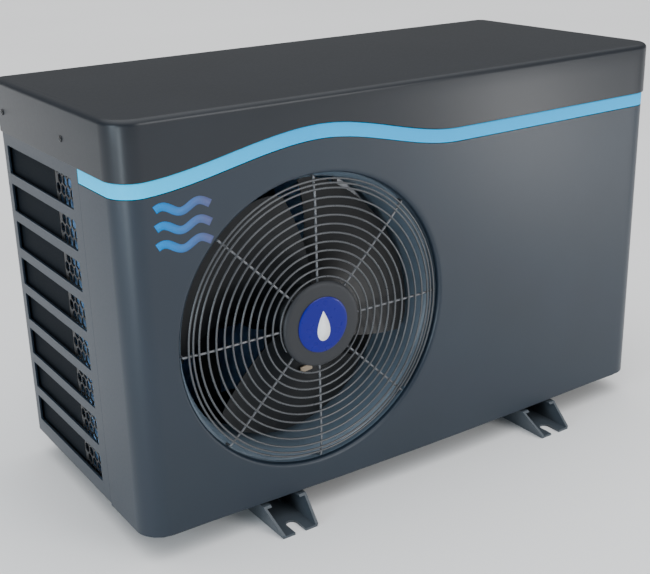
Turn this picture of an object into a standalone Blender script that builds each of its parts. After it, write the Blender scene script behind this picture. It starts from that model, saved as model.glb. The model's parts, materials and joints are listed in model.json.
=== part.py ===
"""Side-discharge heat pump for a swimming pool, as an assembly of its separate pieces.

Metres, +Z up, the front faces -Y. The pieces are laid out in the cabinet's own frame, whose origin
is on the ground under the middle of the cabinet. That frame hangs on an empty, moved along X so that
the world's origin is under the middle of the whole unit, water unions included.
"""

import math

import bmesh
import bpy
from mathutils import Matrix, Vector

# ---------------------------------------------------------------- driving dimensions
GAP = 0.0004  # between pieces that touch
HALF_W = 0.378  # half the width of the panels
FRONT = -0.168  # front plane at the corners
REAR = 0.168
BOW = 0.006  # how far the front bulges at its middle
CORNER_R = 0.030  # front corners, in plan
REAR_R = 0.012  # rear corners, in plan
WALL = 0.003  # moulded panels
STEEL = 0.0015  # sheet steel
FOOT_H = 0.028
TRAY_RIM_Z = 0.050
PANEL_Z = 0.031  # lower edge of the panels
LID_TOP = 0.491
LID_OVERHANG = 0.002
WRAP_Y = -0.070  # the front panel wraps round the corners to here

WAVE_LEVEL = PANEL_Z + 0.381  # joint between front panel and accent strip
WAVE_RISE = 0.0305
WAVE_X = (-0.360, -0.145, 0.045)  # start, crest and end of the wave
STRIP_H = 0.0165
SKIRT_Z = WAVE_LEVEL + STRIP_H  # lower edge of the lid's skirt

SLOT_COUNT = 8
SLOT_H = 0.034
SLOT_PITCH = 0.0466
SLOT_Z = PANEL_Z + 0.022  # lowest slot's lower edge
SLOT_Y = (-0.050, 0.146)

FAN_X = -0.152
FAN_Z = PANEL_Z + 0.203
OPENING_R = 0.171
GUARD_R = 0.1645
GUARD_Y = -0.1715
GUARD_RIM_Y = -0.1695
GUARD_FLAT_R = 0.142  # the guard steps back outside this radius
GUARD_TURNS = 4
SPOKES = 8
HUB_DISC_R = 0.050
BADGE_R = 0.0325
ROTOR_Y = -0.115
BLADES = 3
BLADE_TIP_R = 0.153
SHAFT_R = 0.006

FOOT_X = (-0.208, 0.194)
FOOT_HALF_L = 0.206
FOOT_W = 0.046
FOOT_SLOT = (0.014, 0.026)  # width and length of the bolt notch

COIL_T = 0.040  # thickness of the finned block
COIL_X = -0.360  # outer face of its side leg
COIL_Y = 0.152  # outer face of its rear leg
COIL_END = (-0.050, 0.060)  # where the side leg (y) and the rear leg (x) end
COIL_Z = (FOOT_H + STEEL + GAP, 0.466)
PARTITION_X = 0.092

COMPRESSOR = Vector((0.165, -0.075))
COMPRESSOR_R = 0.058
COMPRESSOR_Z = (0.052, 0.262)
ACCUMULATOR = Vector((0.253, -0.105))
VALVE = Vector((0.165, -0.075, 0.305))
VALVE_PORTS = (-0.023, 0.0, 0.023)
PIPE_R = 0.006
THIN_PIPE_R = 0.004

EXCHANGER = Vector((0.240, 0.070))
EXCHANGER_R = 0.060
EXCHANGER_Z = (0.060, 0.350)
PORT_Z = {"inlet": 0.110, "outlet": 0.290}
PORT_R = 0.025
PORT_BORE_R = 0.021
PORT_END = 0.405
TAIL_END = 0.436
NUT_X = (0.382, 0.412)
PADDLE = Vector((0.338, 0.070, 0.1285))
GAS_PIPE_Z = 0.368
LIQUID_PIPE_Z = 0.075

LIQUID_XY = (0.258, -0.004)  # filter drier and expansion valve
FILTER_Z = 0.160
EXPANSION_Z = 0.100
PIPE_TOP_Z = 0.396
TITANIUM_PORT = 0.018  # the titanium coil's ends stand this far each side of the exchanger's axis
TITANIUM_TOP = 0.382

CONTROL_X = (HALF_W + GAP, 0.3905)
CONTROL_Y = (-0.066, 0.026)
CONTROL_Z = (0.312, 0.400)
COVER_X = (0.3925, 0.3943)
HINGE = Vector((COVER_X[0] + 0.0009, sum(CONTROL_Y) / 2, CONTROL_Z[1] + 0.0055))
BUTTON_Y = {"power": -0.046, "down": -0.020, "up": 0.006}
BUTTON_Z = CONTROL_Z[0] + 0.016
BUTTON_R = 0.0055
BUTTON_L = 0.0055
GLAND = Vector((0.120, 0.330))  # y and z on the right side panel

CABINET_X = -(TAIL_END - HALF_W - LID_OVERHANG) / 2

# ---------------------------------------------------------------- finishes: colour, roughness, metallic
CASE = ((0.060, 0.070, 0.082), 0.50, 0.0)
DARK = ((0.020, 0.022, 0.026), 0.60, 0.0)
ACCENT = ((0.09, 0.45, 0.80), 0.35, 0.0)
WIRE = ((0.30, 0.32, 0.35), 0.35, 0.9)
FINS = ((0.03, 0.14, 0.42), 0.40, 0.6)
COPPER = ((0.72, 0.34, 0.18), 0.30, 1.0)
BRASS = ((0.70, 0.52, 0.22), 0.35, 1.0)
TITANIUM = ((0.42, 0.42, 0.44), 0.35, 1.0)
GALVANISED = ((0.45, 0.47, 0.49), 0.40, 0.9)
BLACK_PAINT = ((0.012, 0.012, 0.014), 0.35, 0.0)
RUBBER = ((0.015, 0.015, 0.015), 0.85, 0.0)
PVC = ((0.30, 0.31, 0.33), 0.45, 0.0)
BADGE = ((0.005, 0.03, 0.35), 0.25, 0.0)
BOARD = ((0.02, 0.16, 0.06), 0.45, 0.0)
CLEAR = ((0.60, 0.66, 0.70), 0.08, 0.0)
KEYCAP = ((0.50, 0.52, 0.55), 0.45, 0.0)

for old in list(bpy.data.objects):
    bpy.data.objects.remove(old)
parts = bpy.data.collections.new("pool_heat_pump")
cutters = bpy.data.collections.new("cutters")
bpy.context.scene.collection.children.link(parts)
bpy.context.scene.collection.children.link(cutters)


# ---------------------------------------------------------------- modelling helpers
def material(name, finish):
    """A Principled material of the given colour, roughness and metallic value."""
    colour, roughness, metallic = finish
    made = bpy.data.materials.new(name)
    made.use_nodes = True
    shader = made.node_tree.nodes["Principled BSDF"]
    shader.inputs["Base Color"].default_value = (*colour, 1)
    shader.inputs["Roughness"].default_value = roughness
    shader.inputs["Metallic"].default_value = metallic
    return made


def add(name, mesh, finish):
    """Makes an object of a mesh: a part if it has a finish, else a cutter."""
    made = bpy.data.objects.new(name, mesh)
    if finish is None:
        cutters.objects.link(made)
        made.display_type = "WIRE"
        made.hide_render = True
    else:
        parts.objects.link(made)
        mesh.materials.append(material(name, finish))
    return made


def from_bmesh(name, made, finish):
    """Closes a bmesh into an object whose faces point out."""
    bmesh.ops.remove_doubles(made, verts=made.verts, dist=1e-5)
    bmesh.ops.recalc_face_normals(made, faces=made.faces)
    mesh = bpy.data.meshes.new(name)
    made.to_mesh(mesh)
    made.free()
    return add(name, mesh, finish)


def evaluated(source, name, finish):
    """Turns an object with modifiers, or a curve, into a clean mesh object in the same place."""
    source.name = f"{name}_source"
    bpy.context.scene.collection.objects.link(source)
    bpy.context.view_layer.update()
    view = source.evaluated_get(bpy.context.evaluated_depsgraph_get())
    made = bmesh.new()
    made.from_mesh(bpy.data.meshes.new_from_object(view))
    result = from_bmesh(name, made, finish)
    result.matrix_world = source.matrix_world.copy()
    bpy.data.objects.remove(source)
    return result


def block(name, low, high, finish=None, bevel=0.0):
    """A box between two corners, with its edges rounded by bevel."""
    low, high = Vector(low), Vector(high)
    made = bmesh.new()
    bmesh.ops.create_cube(made, size=1.0)
    bmesh.ops.scale(made, vec=high - low, verts=made.verts)
    if bevel:
        bmesh.ops.bevel(made, geom=made.edges[:], offset=bevel, segments=2, profile=0.5, affect="EDGES")
    result = from_bmesh(name, made, finish)
    result.location = (low + high) / 2
    return result


AXES = {"Z": (0, 0, 0), "-Y": (math.pi / 2, 0, 0), "X": (0, math.pi / 2, 0)}


def turned(name, profile, at, finish=None, axis="Z", steps=24, ring=False):
    """Turns a profile of (radius, height) points round an axis. A ring's profile closes on itself."""
    area = sum(a[0] * b[1] - b[0] * a[1] for a, b in zip(profile, profile[1:] + profile[:1]))
    if area > 0:
        profile = profile[::-1]
    mesh = bpy.data.meshes.new(name)
    count = len(profile)
    edges = [(i, (i + 1) % count) for i in range(count if ring else count - 1)]
    mesh.from_pydata([(r, 0, h) for r, h in profile], edges, [])
    source = bpy.data.objects.new(name, mesh)
    screw = source.modifiers.new("turn", "SCREW")
    screw.steps = screw.render_steps = steps
    screw.use_merge_vertices = True
    screw.merge_threshold = 0.00001
    result = evaluated(source, name, finish)
    result.location = at
    result.rotation_euler = AXES[axis]
    return result


def cylinder(name, radius, length, at, finish=None, axis="Z", steps=16):
    """A cylinder that starts at a point and runs along an axis."""
    return turned(name, [(0, length), (radius, length), (radius, 0), (0, 0)], at, finish, axis, steps)


PLANES = {"XY": (0, 0, 0), "XZ": (math.pi / 2, 0, 0), "YZ": (math.pi / 2, 0, math.pi / 2)}


def plate(name, outline, thickness, at, finish=None, plane="XY", holes=()):
    """A flat outline with holes, extruded by thickness about the point at, in a plane."""
    curve = bpy.data.curves.new(name, "CURVE")
    curve.dimensions = "2D"
    curve.fill_mode = "BOTH"
    curve.extrude = thickness / 2
    for loop in (outline, *holes):
        spline = curve.splines.new("POLY")
        spline.points.add(len(loop) - 1)
        for point, (u, v) in zip(spline.points, loop):
            point.co = (u, v, 0, 1)
        spline.use_cyclic_u = True
    source = bpy.data.objects.new(name, curve)
    result = evaluated(source, name, finish)
    result.location = at
    result.rotation_euler = PLANES[plane]
    return result


def tube(name, points, radius, finish=None, resolution=1, closed=False):
    """A round wire or pipe through points, with flat ends."""
    curve = bpy.data.curves.new(name, "CURVE")
    curve.dimensions = "3D"
    curve.bevel_depth = radius
    curve.bevel_resolution = resolution
    curve.use_fill_caps = True
    curve.render_resolution_u = 0
    spline = curve.splines.new("POLY")
    spline.points.add(len(points) - 1)
    for point, place in zip(spline.points, points):
        point.co = (*place, 1)
    spline.use_cyclic_u = closed
    return evaluated(bpy.data.objects.new(name, curve), name, finish)


def group(name, pieces):
    """Puts several separate cutters into one object, so that one Boolean uses them all."""
    made = bmesh.new()
    for piece in pieces:
        bpy.context.view_layer.update()
        first = len(made.verts)
        made.from_mesh(piece.data)
        made.verts.ensure_lookup_table()
        bmesh.ops.transform(made, matrix=piece.matrix_world, verts=made.verts[first:])
        bpy.data.objects.remove(piece)
    mesh = bpy.data.meshes.new(name)
    made.to_mesh(mesh)
    made.free()
    return add(name, mesh, None)


def boolean(target, other, operation):
    """Cuts, joins or trims an object by another, which becomes a hidden cutter."""
    if other.name in parts.objects:
        parts.objects.unlink(other)
        cutters.objects.link(other)
    other.display_type = "WIRE"
    other.hide_render = True
    change = target.modifiers.new(other.name, "BOOLEAN")
    change.operation = operation
    change.solver = "EXACT"
    change.object = other


def cut(target, *others):
    for other in others:
        boolean(target, other, "DIFFERENCE")


def join(target, *others):
    for other in others:
        boolean(target, other, "UNION")


def arc(centre, radius, start, end, count):
    """Points on an arc, angles in degrees."""
    angles = [math.radians(start + (end - start) * i / count) for i in range(count + 1)]
    return [(centre[0] + radius * math.cos(a), centre[1] + radius * math.sin(a)) for a in angles]


def rectangle(low, high, radius=0.0, count=3):
    """A rectangle from corner to corner, with rounded corners."""
    (u0, v0), (u1, v1) = low, high
    if not radius:
        return [(u0, v0), (u1, v0), (u1, v1), (u0, v1)]
    r = radius
    return (
        arc((u0 + r, v0 + r), r, 180, 270, count)
        + arc((u1 - r, v0 + r), r, 270, 360, count)
        + arc((u1 - r, v1 - r), r, 0, 90, count)
        + arc((u0 + r, v1 - r), r, 90, 180, count)
    )


def grid_holes(low, high, columns, rows, web):
    """Rectangular holes that leave webs between them."""
    wide = (high[0] - low[0] - web * (columns + 1)) / columns
    tall = (high[1] - low[1] - web * (rows + 1)) / rows
    holes = []
    for column in range(columns):
        for row in range(rows):
            u = low[0] + web + column * (wide + web)
            v = low[1] + web + row * (tall + web)
            holes.append(rectangle((u, v), (u + wide, v + tall)))
    return holes


def rounded(points, radius, count=3):
    """A route through points, with each corner between them turned by an arc."""
    points = [Vector(p) for p in points]
    route = [points[0]]
    for before, here, after in zip(points, points[1:], points[2:]):
        a, b = (before - here).normalized(), (after - here).normalized()
        half = a.angle(b) / 2
        reach = min(radius / math.tan(half), (before - here).length / 2, (after - here).length / 2)
        turn = reach * math.tan(half)
        middle = here + (a + b).normalized() * turn / math.sin(half)
        start, end = here + a * reach - middle, here + b * reach - middle
        for i in range(count + 1):
            route.append(middle + start.slerp(end, i / count, start).normalized() * turn)
    route.append(points[-1])
    return route


def wall(name, path, low, high, thickness, finish):
    """A wall on a path in plan, with its outer face on the path. Left to right is seen from outside."""
    made = bmesh.new()
    bottom = [made.verts.new((x, y, low)) for x, y in path]
    top = [made.verts.new((x, y, high)) for x, y in path]
    for a, b, c, d in zip(bottom, bottom[1:], top[1:], top):
        made.faces.new((a, b, c, d))
    mesh = bpy.data.meshes.new(name)
    made.to_mesh(mesh)
    made.free()
    result = add(name, mesh, finish)
    solid = result.modifiers.new("thickness", "SOLIDIFY")
    solid.thickness = thickness
    solid.offset = -1
    solid.use_even_offset = True
    return result


def open_box(name, outline, low, high, thickness, finish, opening="top", bevel=0.0, segments=3):
    """A shell with a floor and sides on an outline, open at the top, or upside down."""
    floor_z, rim_z = (low, high) if opening == "top" else (high, low)
    made = bmesh.new()
    floor = made.faces.new([made.verts.new((x, y, floor_z)) for x, y in outline])
    rim = [made.verts.new((x, y, rim_z)) for x, y in outline]
    for i, vert in enumerate(floor.verts):
        after = (i + 1) % len(rim)
        made.faces.new((vert, floor.verts[after], rim[after], rim[i]))
    bmesh.ops.recalc_face_normals(made, faces=made.faces)
    if floor.normal.z * (floor_z - rim_z) < 0:
        bmesh.ops.reverse_faces(made, faces=made.faces)
    if bevel:
        edges = floor.edges[:]
        bmesh.ops.bevel(made, geom=edges, offset=bevel, segments=segments, profile=0.5, affect="EDGES")
    mesh = bpy.data.meshes.new(name)
    made.to_mesh(mesh)
    made.free()
    result = add(name, mesh, finish)
    solid = result.modifiers.new("thickness", "SOLIDIFY")
    solid.thickness = thickness
    solid.offset = -1
    solid.use_even_offset = True
    return result


# ---------------------------------------------------------------- shared curves
def bow(x):
    """How far the front face stands out at x."""
    return BOW * max(0.0, 1 - (x / (HALF_W - CORNER_R)) ** 2)


def wave(x):
    """Height of the wavy joint at x."""
    start, crest, end = WAVE_X
    t = (x - start) / (crest - start) if x < crest else (end - x) / (end - crest)
    t = min(max(t, 0.0), 1.0)
    return WAVE_LEVEL + WAVE_RISE * t * t * (3 - 2 * t)


def front_path(grow=0.0):
    """Plan of the front with its two rounded corners, left to right."""
    edge = HALF_W + grow
    radius = CORNER_R + grow
    inner = HALF_W - CORNER_R
    middle = FRONT + CORNER_R
    steps = 16
    face = [(-inner + 2 * inner * i / steps) for i in range(1, steps)]
    return (
        [(-edge, WRAP_Y)]
        + arc((-inner, middle), radius, 180, 270, 6)
        + [(x, FRONT - grow - bow(x)) for x in face]
        + arc((inner, middle), radius, 270, 360, 6)
        + [(edge, WRAP_Y)]
    )


def outline_path(grow=0.0):
    """Plan of the whole cabinet."""
    edge = HALF_W + grow
    radius = REAR_R + grow
    back = REAR - REAR_R
    inner = HALF_W - REAR_R
    rear = arc((inner, back), radius, 0, 90, 3) + arc((-inner, back), radius, 90, 180, 3)
    return front_path(grow)[1:-1] + rear


def wave_samples():
    return [-0.42 + 0.84 * i / 35 for i in range(36)]


# ---------------------------------------------------------------- casing
def make_front_panel():
    panel = wall("front_panel", front_path(), PANEL_Z, WAVE_LEVEL + 0.04, WALL, CASE)
    above = [(x, wave(x)) for x in wave_samples()] + [(0.42, 0.60), (-0.42, 0.60)]
    cut(panel, plate("above_wave", above, 0.30, (0, -0.18, 0), plane="XZ"))
    cut(panel, cylinder("fan_opening", OPENING_R, 0.08, (FAN_X, -0.13, FAN_Z), axis="-Y", steps=40))
    lip = [(OPENING_R + 0.0003, -0.001), (OPENING_R + 0.0028, -0.001), (OPENING_R + 0.0028, -0.008)]
    lip.append((OPENING_R + 0.0003, -0.008))
    collar = turned("opening_collar", lip, (FAN_X, FRONT, FAN_Z), axis="-Y", steps=40, ring=True)
    for vert in collar.data.vertices:
        vert.co.z += bow(FAN_X + vert.co.x)
    join(panel, collar)


def make_accent_strip():
    strip = wall("accent_strip", front_path(-0.0002), WAVE_LEVEL - 0.01, SKIRT_Z + 0.04, WALL, ACCENT)
    xs = wave_samples()
    lower = [(x, wave(x) + GAP) for x in xs]
    upper = [(x, wave(x) + STRIP_H - GAP) for x in reversed(xs)]
    boolean(strip, plate("strip_band", lower + upper, 0.30, (0, -0.18, 0), plane="XZ"), "INTERSECT")


def make_top_cover():
    outline = outline_path(LID_OVERHANG)
    cover = open_box("top_cover", outline, SKIRT_Z, LID_TOP, WALL, CASE, "bottom", 0.010, 2)
    samples = wave_samples()
    step = samples[1] - samples[0]
    xs = [x for x in samples if WAVE_X[0] - step < x < WAVE_X[2] + step]
    edge = [(x, wave(x) + STRIP_H - GAP / 4) for x in xs]
    below = edge + [(xs[-1], SKIRT_Z - 0.01), (xs[0], SKIRT_Z - 0.01)]
    cut(cover, plate("below_wave", below, 0.08, (0, -0.17, 0), plane="XZ"))


def side_path(side):
    """Plan of a side panel from the front panel's wrap to the rear, on the left (-1) or the right (1)."""
    start = (HALF_W, WRAP_Y + GAP * 2)
    rear_end = (HALF_W - 0.033, REAR)
    right = [start] + arc((HALF_W - REAR_R, REAR - REAR_R), REAR_R, 0, 90, 3) + [rear_end]
    if side > 0:
        return right
    return [(-x, y) for x, y in reversed(right)]


def make_side_panels():
    left = wall("left_side_panel", side_path(-1), PANEL_Z + 0.003, SKIRT_Z - GAP, WALL, CASE)
    low, high = (-HALF_W - 0.01, SLOT_Y[0], SLOT_Z), (-HALF_W + 0.01, SLOT_Y[1], SLOT_Z + SLOT_H)
    slot = block("side_slots", low, high)
    repeat = slot.modifiers.new("slots", "ARRAY")
    repeat.count = SLOT_COUNT
    repeat.use_relative_offset = False
    repeat.use_constant_offset = True
    repeat.constant_offset_displace = (0, 0, SLOT_PITCH)
    cut(left, slot)
    right = wall("right_side_panel", side_path(1), PANEL_Z + 0.003, SKIRT_Z - GAP, WALL, CASE)
    for name, z in PORT_Z.items():
        hole = (HALF_W - 0.01, EXCHANGER.y, z)
        cut(right, cylinder(f"{name}_port_hole", PORT_R + 0.0012, 0.02, hole, axis="X"))
    cut(right, cylinder("gland_hole", 0.0105, 0.02, (HALF_W - 0.01, GLAND.x, GLAND.y), axis="X"))
    wire_hole = (HALF_W - 0.01, sum(CONTROL_Y) / 2, sum(CONTROL_Z) / 2)
    cut(right, cylinder("wire_hole", 0.012, 0.02, wire_hole, axis="X"))


def make_rear():
    low, high = (PARTITION_X + 0.0015, PANEL_Z + 0.003), (HALF_W - 0.033 - GAP, SKIRT_Z - GAP)
    vents = grid_holes((0.15, 0.30), (0.29, 0.40), 1, 6, 0.007)
    place = (0, REAR - WALL / 2, 0)
    plate("rear_panel", rectangle(low, high), WALL, place, CASE, "XZ", vents)
    low, high = (-HALF_W + 0.033 + GAP, PANEL_Z + 0.003), (PARTITION_X + 0.0015 - GAP, SKIRT_Z - GAP)
    openings = grid_holes((low[0] + 0.01, low[1] + 0.01), (high[0] - 0.01, high[1] - 0.01), 6, 5, 0.005)
    plate("rear_coil_guard", rectangle(low, high), WALL, place, DARK, "XZ", openings)


def make_side_screens():
    """The net over the fins and the plain baffle over the coil's bend, just inside the slots."""
    x = -HALF_W + WALL + 0.0035
    low, high = (SLOT_Y[0] - 0.005, 0.042), (0.012, 0.424)
    holes = grid_holes((low[0] + 0.002, low[1] + 0.002), (high[0] - 0.002, high[1] - 0.002), 2, 9, 0.004)
    plate("side_coil_net", rectangle(low, high), 0.002, (x, 0, 0), DARK, "YZ", holes)
    low, high = (0.0125, TRAY_RIM_Z + 0.001), (SLOT_Y[1] + 0.006, 0.426)
    plate("coil_corner_baffle", rectangle(low, high), STEEL, (x, 0, 0), DARK, "YZ")


def make_base():
    outline = rectangle((-0.3745, FRONT + 0.0035), (0.3745, REAR - 0.0035), 0.028, 4)
    tray = open_box("base_tray", outline, FOOT_H, TRAY_RIM_Z, STEEL, GALVANISED)
    drain = Vector((-0.152, 0.060, FOOT_H))
    cut(tray, cylinder("drain_hole", 0.009, 0.02, drain - Vector((0, 0, 0.01))))
    profile = [(0.006, 0.006), (0.012, 0.006), (0.012, 0.0019), (0.0085, 0.0019), (0.0085, -0.016)]
    profile += [(0.0095, -0.018), (0.0075, -0.024), (0.006, -0.024)]
    turned("drain_spout", profile, drain, DARK, steps=14, ring=True)
    for name, x in zip(("foot_rail_left", "foot_rail_right"), FOOT_X):
        make_foot_rail(name, x)


def make_foot_rail(name, x):
    """A channel across the whole depth: floor, flared flanges and lips, with notched open ends."""
    half, flare, top, lip, floor_t, side_t = FOOT_W / 2, 0.006, FOOT_H - GAP, 0.010, 0.003, 0.003
    right = [(half, 0), (half + flare, top), (half + flare - lip, top), (half + flare - lip, top - 0.002)]
    right += [(half + flare - side_t - 0.0005, top - 0.002), (half - side_t, floor_t)]
    section = right + [(-u, v) for u, v in reversed(right)]
    rail = plate(name, section, 2 * FOOT_HALF_L, (x, 0, 0), DARK, "XZ")
    for end in (-1, 1):
        tip, root = end * FOOT_HALF_L, end * (-FRONT + 0.004)
        wedge = [(tip + end * 0.01, 0.0045), (tip, 0.0045), (root, top + 0.001)]
        wedge += [(root, top + 0.01), (tip + end * 0.01, top + 0.01)]
        cut(rail, plate(f"{name}_taper", wedge, 0.09, (x, 0, 0), plane="YZ"))
        wide, deep = FOOT_SLOT
        notch = arc((0, tip - end * (deep - wide / 2)), wide / 2, 0, -end * 180, 8)
        notch += [(-wide / 2, tip + end * 0.01), (wide / 2, tip + end * 0.01)]
        cut(rail, plate(f"{name}_notch", notch, 0.02, (x, 0, 0.004)))


# ---------------------------------------------------------------- fan
def guard_depth(radius):
    """The guard is flat in the middle and steps back near its rim."""
    t = max(0.0, (radius - GUARD_FLAT_R) / (GUARD_R - GUARD_FLAT_R))
    return GUARD_Y + (GUARD_RIM_Y - GUARD_Y) * t


def around_fan(radius, angle, y):
    return (FAN_X + radius * math.cos(angle), y, FAN_Z + radius * math.sin(angle))


def make_fan_guard():
    points_per_turn, inner, outer = 18, HUB_DISC_R + 0.001, GUARD_R - 0.006
    count = GUARD_TURNS * points_per_turn
    spiral = []
    for i in range(count + 1):
        radius = inner + (outer - inner) * i / count
        angle = math.radians(150) - 2 * math.pi * i / points_per_turn
        spiral.append(around_fan(radius, angle, guard_depth(radius)))
    guard = tube("fan_guard", spiral, 0.0015, WIRE)
    behind = 0.0024
    rim = [around_fan(GUARD_R, 2 * math.pi * i / 28, GUARD_RIM_Y + behind) for i in range(28)]
    join(guard, tube("guard_rim", rim, 0.0018, closed=True))
    for spoke in range(SPOKES):
        angle = 2 * math.pi * spoke / SPOKES
        radii = (0.030, GUARD_FLAT_R, GUARD_R)
        line = [around_fan(r, angle, guard_depth(r) + behind) for r in radii]
        join(guard, tube(f"guard_spoke_{spoke + 1}", line, 0.0016))
    seat = turned(
        "guard_seat",
        [(0.0, 0.0), (0.034, 0.0), (0.034, -0.0015), (0.0, -0.0015)],
        (FAN_X, GUARD_Y + 0.0018, FAN_Z),
        axis="-Y",
        steps=14,
    )
    join(guard, seat)


def make_hub_disc():
    r = HUB_DISC_R
    profile = [(0, 0.0030), (r - 0.012, 0.0030), (r - 0.003, 0.0022), (r, 0.0), (r, -0.0015), (0, -0.0015)]
    turned("guard_hub_disc", profile, (FAN_X, GUARD_Y - 0.0035, FAN_Z), DARK, "-Y", 32)
    r = BADGE_R
    profile = [(0, 0.0016), (r * 0.6, 0.0014), (r - 0.001, 0.0008), (r, 0.0), (0, 0.0)]
    turned("hub_badge", profile, (FAN_X, GUARD_Y - 0.0035 - 0.0030 - GAP, FAN_Z), BADGE, "-Y", 28)


def make_shroud():
    """Bell-mouth ring: a flange that curves into a straight throat."""
    face, throat, wall_t = -0.1585, 0.161, 0.0025
    inner = [(0.190, 0.0), (0.174, 0.0), (0.1675, -0.004), (0.163, -0.012), (throat, -0.024)]
    inner.append((throat, -0.078))
    outer = [(throat + wall_t, -0.078), (throat + wall_t, -0.023), (0.166, -0.0125), (0.170, -0.006)]
    outer += [(0.175, -wall_t), (0.190, -wall_t)]
    turned("fan_shroud", inner + outer, (FAN_X, face, FAN_Z), DARK, "-Y", 32, ring=True)


def blade(name, turn):
    """One wide, twisted, forward-swept fan blade, thickened from a grid of points."""
    across, along, root, tip = 7, 4, 0.030, BLADE_TIP_R
    made = bmesh.new()
    rows = []
    for i in range(along + 1):
        t = i / along
        radius = root + (tip - root) * t
        span = math.radians(92 + 8 * t)
        sweep = math.radians(30 * t - 8 * t * t)
        depth = 0.030 - 0.006 * t
        row = []
        for j in range(across + 1):
            s = j / across
            angle = turn + sweep + s * span
            camber = 0.004 * math.sin(math.pi * s) * t
            place = (radius * math.cos(angle), radius * math.sin(angle), (1 - 2 * s) * depth - camber)
            row.append(made.verts.new(place))
        rows.append(row)
    for low, high in zip(rows, rows[1:]):
        for a, b, c, d in zip(low, low[1:], high[1:], high):
            made.faces.new((a, b, c, d))
    mesh = bpy.data.meshes.new(name)
    made.to_mesh(mesh)
    made.free()
    result = add(name, mesh, None)
    result.location = (FAN_X, ROTOR_Y, FAN_Z)
    result.rotation_euler = AXES["-Y"]
    solid = result.modifiers.new("thickness", "SOLIDIFY")
    solid.thickness = 0.0025
    solid.offset = 0
    return result


def make_fan():
    bore = SHAFT_R + GAP
    hub = [(bore, 0.034), (0.030, 0.034), (0.036, 0.028), (0.036, -0.030), (bore, -0.030)]
    rotor = turned("fan_rotor", hub, (FAN_X, ROTOR_Y, FAN_Z), DARK, "-Y", 24, ring=True)
    bore_tool = cylinder("rotor_bore", bore, 0.09, (FAN_X, ROTOR_Y + 0.045, FAN_Z), axis="-Y")
    for i in range(BLADES):
        join(rotor, blade(f"blade_{i + 1}", math.radians(198 + 120 * i)))
    cut(rotor, bore_tool)
    cylinder("motor_shaft", SHAFT_R, 0.126, (FAN_X, -0.033, FAN_Z), GALVANISED, "-Y", 16)
    hexagon = arc((0, 0), 0.0115, 0, 300, 5)
    hole = arc((0, 0), SHAFT_R + GAP, 0, 337.5, 15)
    plate("shaft_nut", hexagon, 0.006, (FAN_X, -0.1525, FAN_Z), BRASS, "XZ", [hole])
    # the motor can: front boss with the shaft's bore, body with end bells
    profile = [(0, -0.010), (SHAFT_R + 0.0005, -0.010), (SHAFT_R + 0.0005, 0.040), (0.016, 0.040)]
    profile += [(0.018, 0.034), (0.040, 0.034), (0.046, 0.028), (0.046, -0.030), (0.040, -0.036), (0, -0.036)]
    turned("fan_motor", profile, (FAN_X, -0.026, FAN_Z), BLACK_PAINT, "-Y", 24)


def make_motor_bracket():
    """Two uprights and two crossbars in one pressing, with folded outer edges."""
    low, high, wide, bar = FOOT_H + STEEL + GAP, LID_TOP - WALL - GAP - 0.001, 0.058, 0.024
    window_low = rectangle((-wide + bar, low + 0.02), (wide - bar, FAN_Z - 0.060))
    window_mid = rectangle((-wide + bar, FAN_Z - 0.030), (wide - bar, FAN_Z + 0.030))
    window_high = rectangle((-wide + bar, FAN_Z + 0.060), (wide - bar, high - 0.02))
    face_y = 0.012
    bracket = plate(
        "motor_bracket",
        rectangle((-wide, low), (wide, high)),
        0.002,
        (FAN_X, face_y, 0),
        GALVANISED,
        "XZ",
        [window_low, window_mid, window_high],
    )
    for side in (-1, 1):
        x = FAN_X + side * (wide - 0.0008)
        corner = (x - 0.001, face_y - 0.0005, low + 0.001)
        opposite = (x + 0.001, face_y + 0.016, high - 0.001)
        join(bracket, block(f"bracket_edge_{side}", corner, opposite))


# ---------------------------------------------------------------- coil
def make_coil():
    x, y, t = COIL_X, COIL_Y, COIL_T
    outer_r, inner_r = 0.052, 0.012
    centre = (x + outer_r, y - outer_r)
    outline = [(x, COIL_END[0])] + arc(centre, outer_r, 180, 90, 6) + [(COIL_END[1], y), (COIL_END[1], y - t)]
    outline += arc(centre, inner_r, 90, 180, 4) + [(x + t, COIL_END[0])]
    height = COIL_Z[1] - COIL_Z[0]
    plate("evaporator_coil", outline, height, (0, 0, sum(COIL_Z) / 2), FINS)
    margin, bends, reach = 0.002, 4, 0.016
    low, high = (x - margin, COIL_Z[0]), (x + t + margin, COIL_Z[1])
    front_y = COIL_END[0] - GAP - STEEL / 2
    front = plate("coil_end_plate_front", rectangle(low, high), STEEL, (0, front_y, 0), GALVANISED, "XZ")
    low, high = (y - t - margin, COIL_Z[0]), (y + margin, COIL_Z[1])
    rear_x = COIL_END[1] + GAP + STEEL / 2
    rear = plate("coil_end_plate_rear", rectangle(low, high), STEEL, (rear_x, 0, 0), GALVANISED, "YZ")
    bend = [(0, -0.0127), (0.7, -0.0127), (1, -0.006), (1, 0.006), (0.7, 0.0127), (0, 0.0127)]
    front_bends = []
    rear_bends = []
    for i in range(bends):
        z = 0.120 + 0.060 * i
        line = [(x + t / 2, front_y - reach * u, z + v) for u, v in bend]
        front_bends.append(tube(f"front_bend_{i + 1}", line, 0.0046))
        line = [(rear_x + reach * u, y - t / 2, z + v) for u, v in bend]
        rear_bends.append(tube(f"rear_bend_{i + 1}", line, 0.0046))
    join(front, group("front_bends", front_bends))
    join(rear, group("rear_bends", rear_bends))


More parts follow.
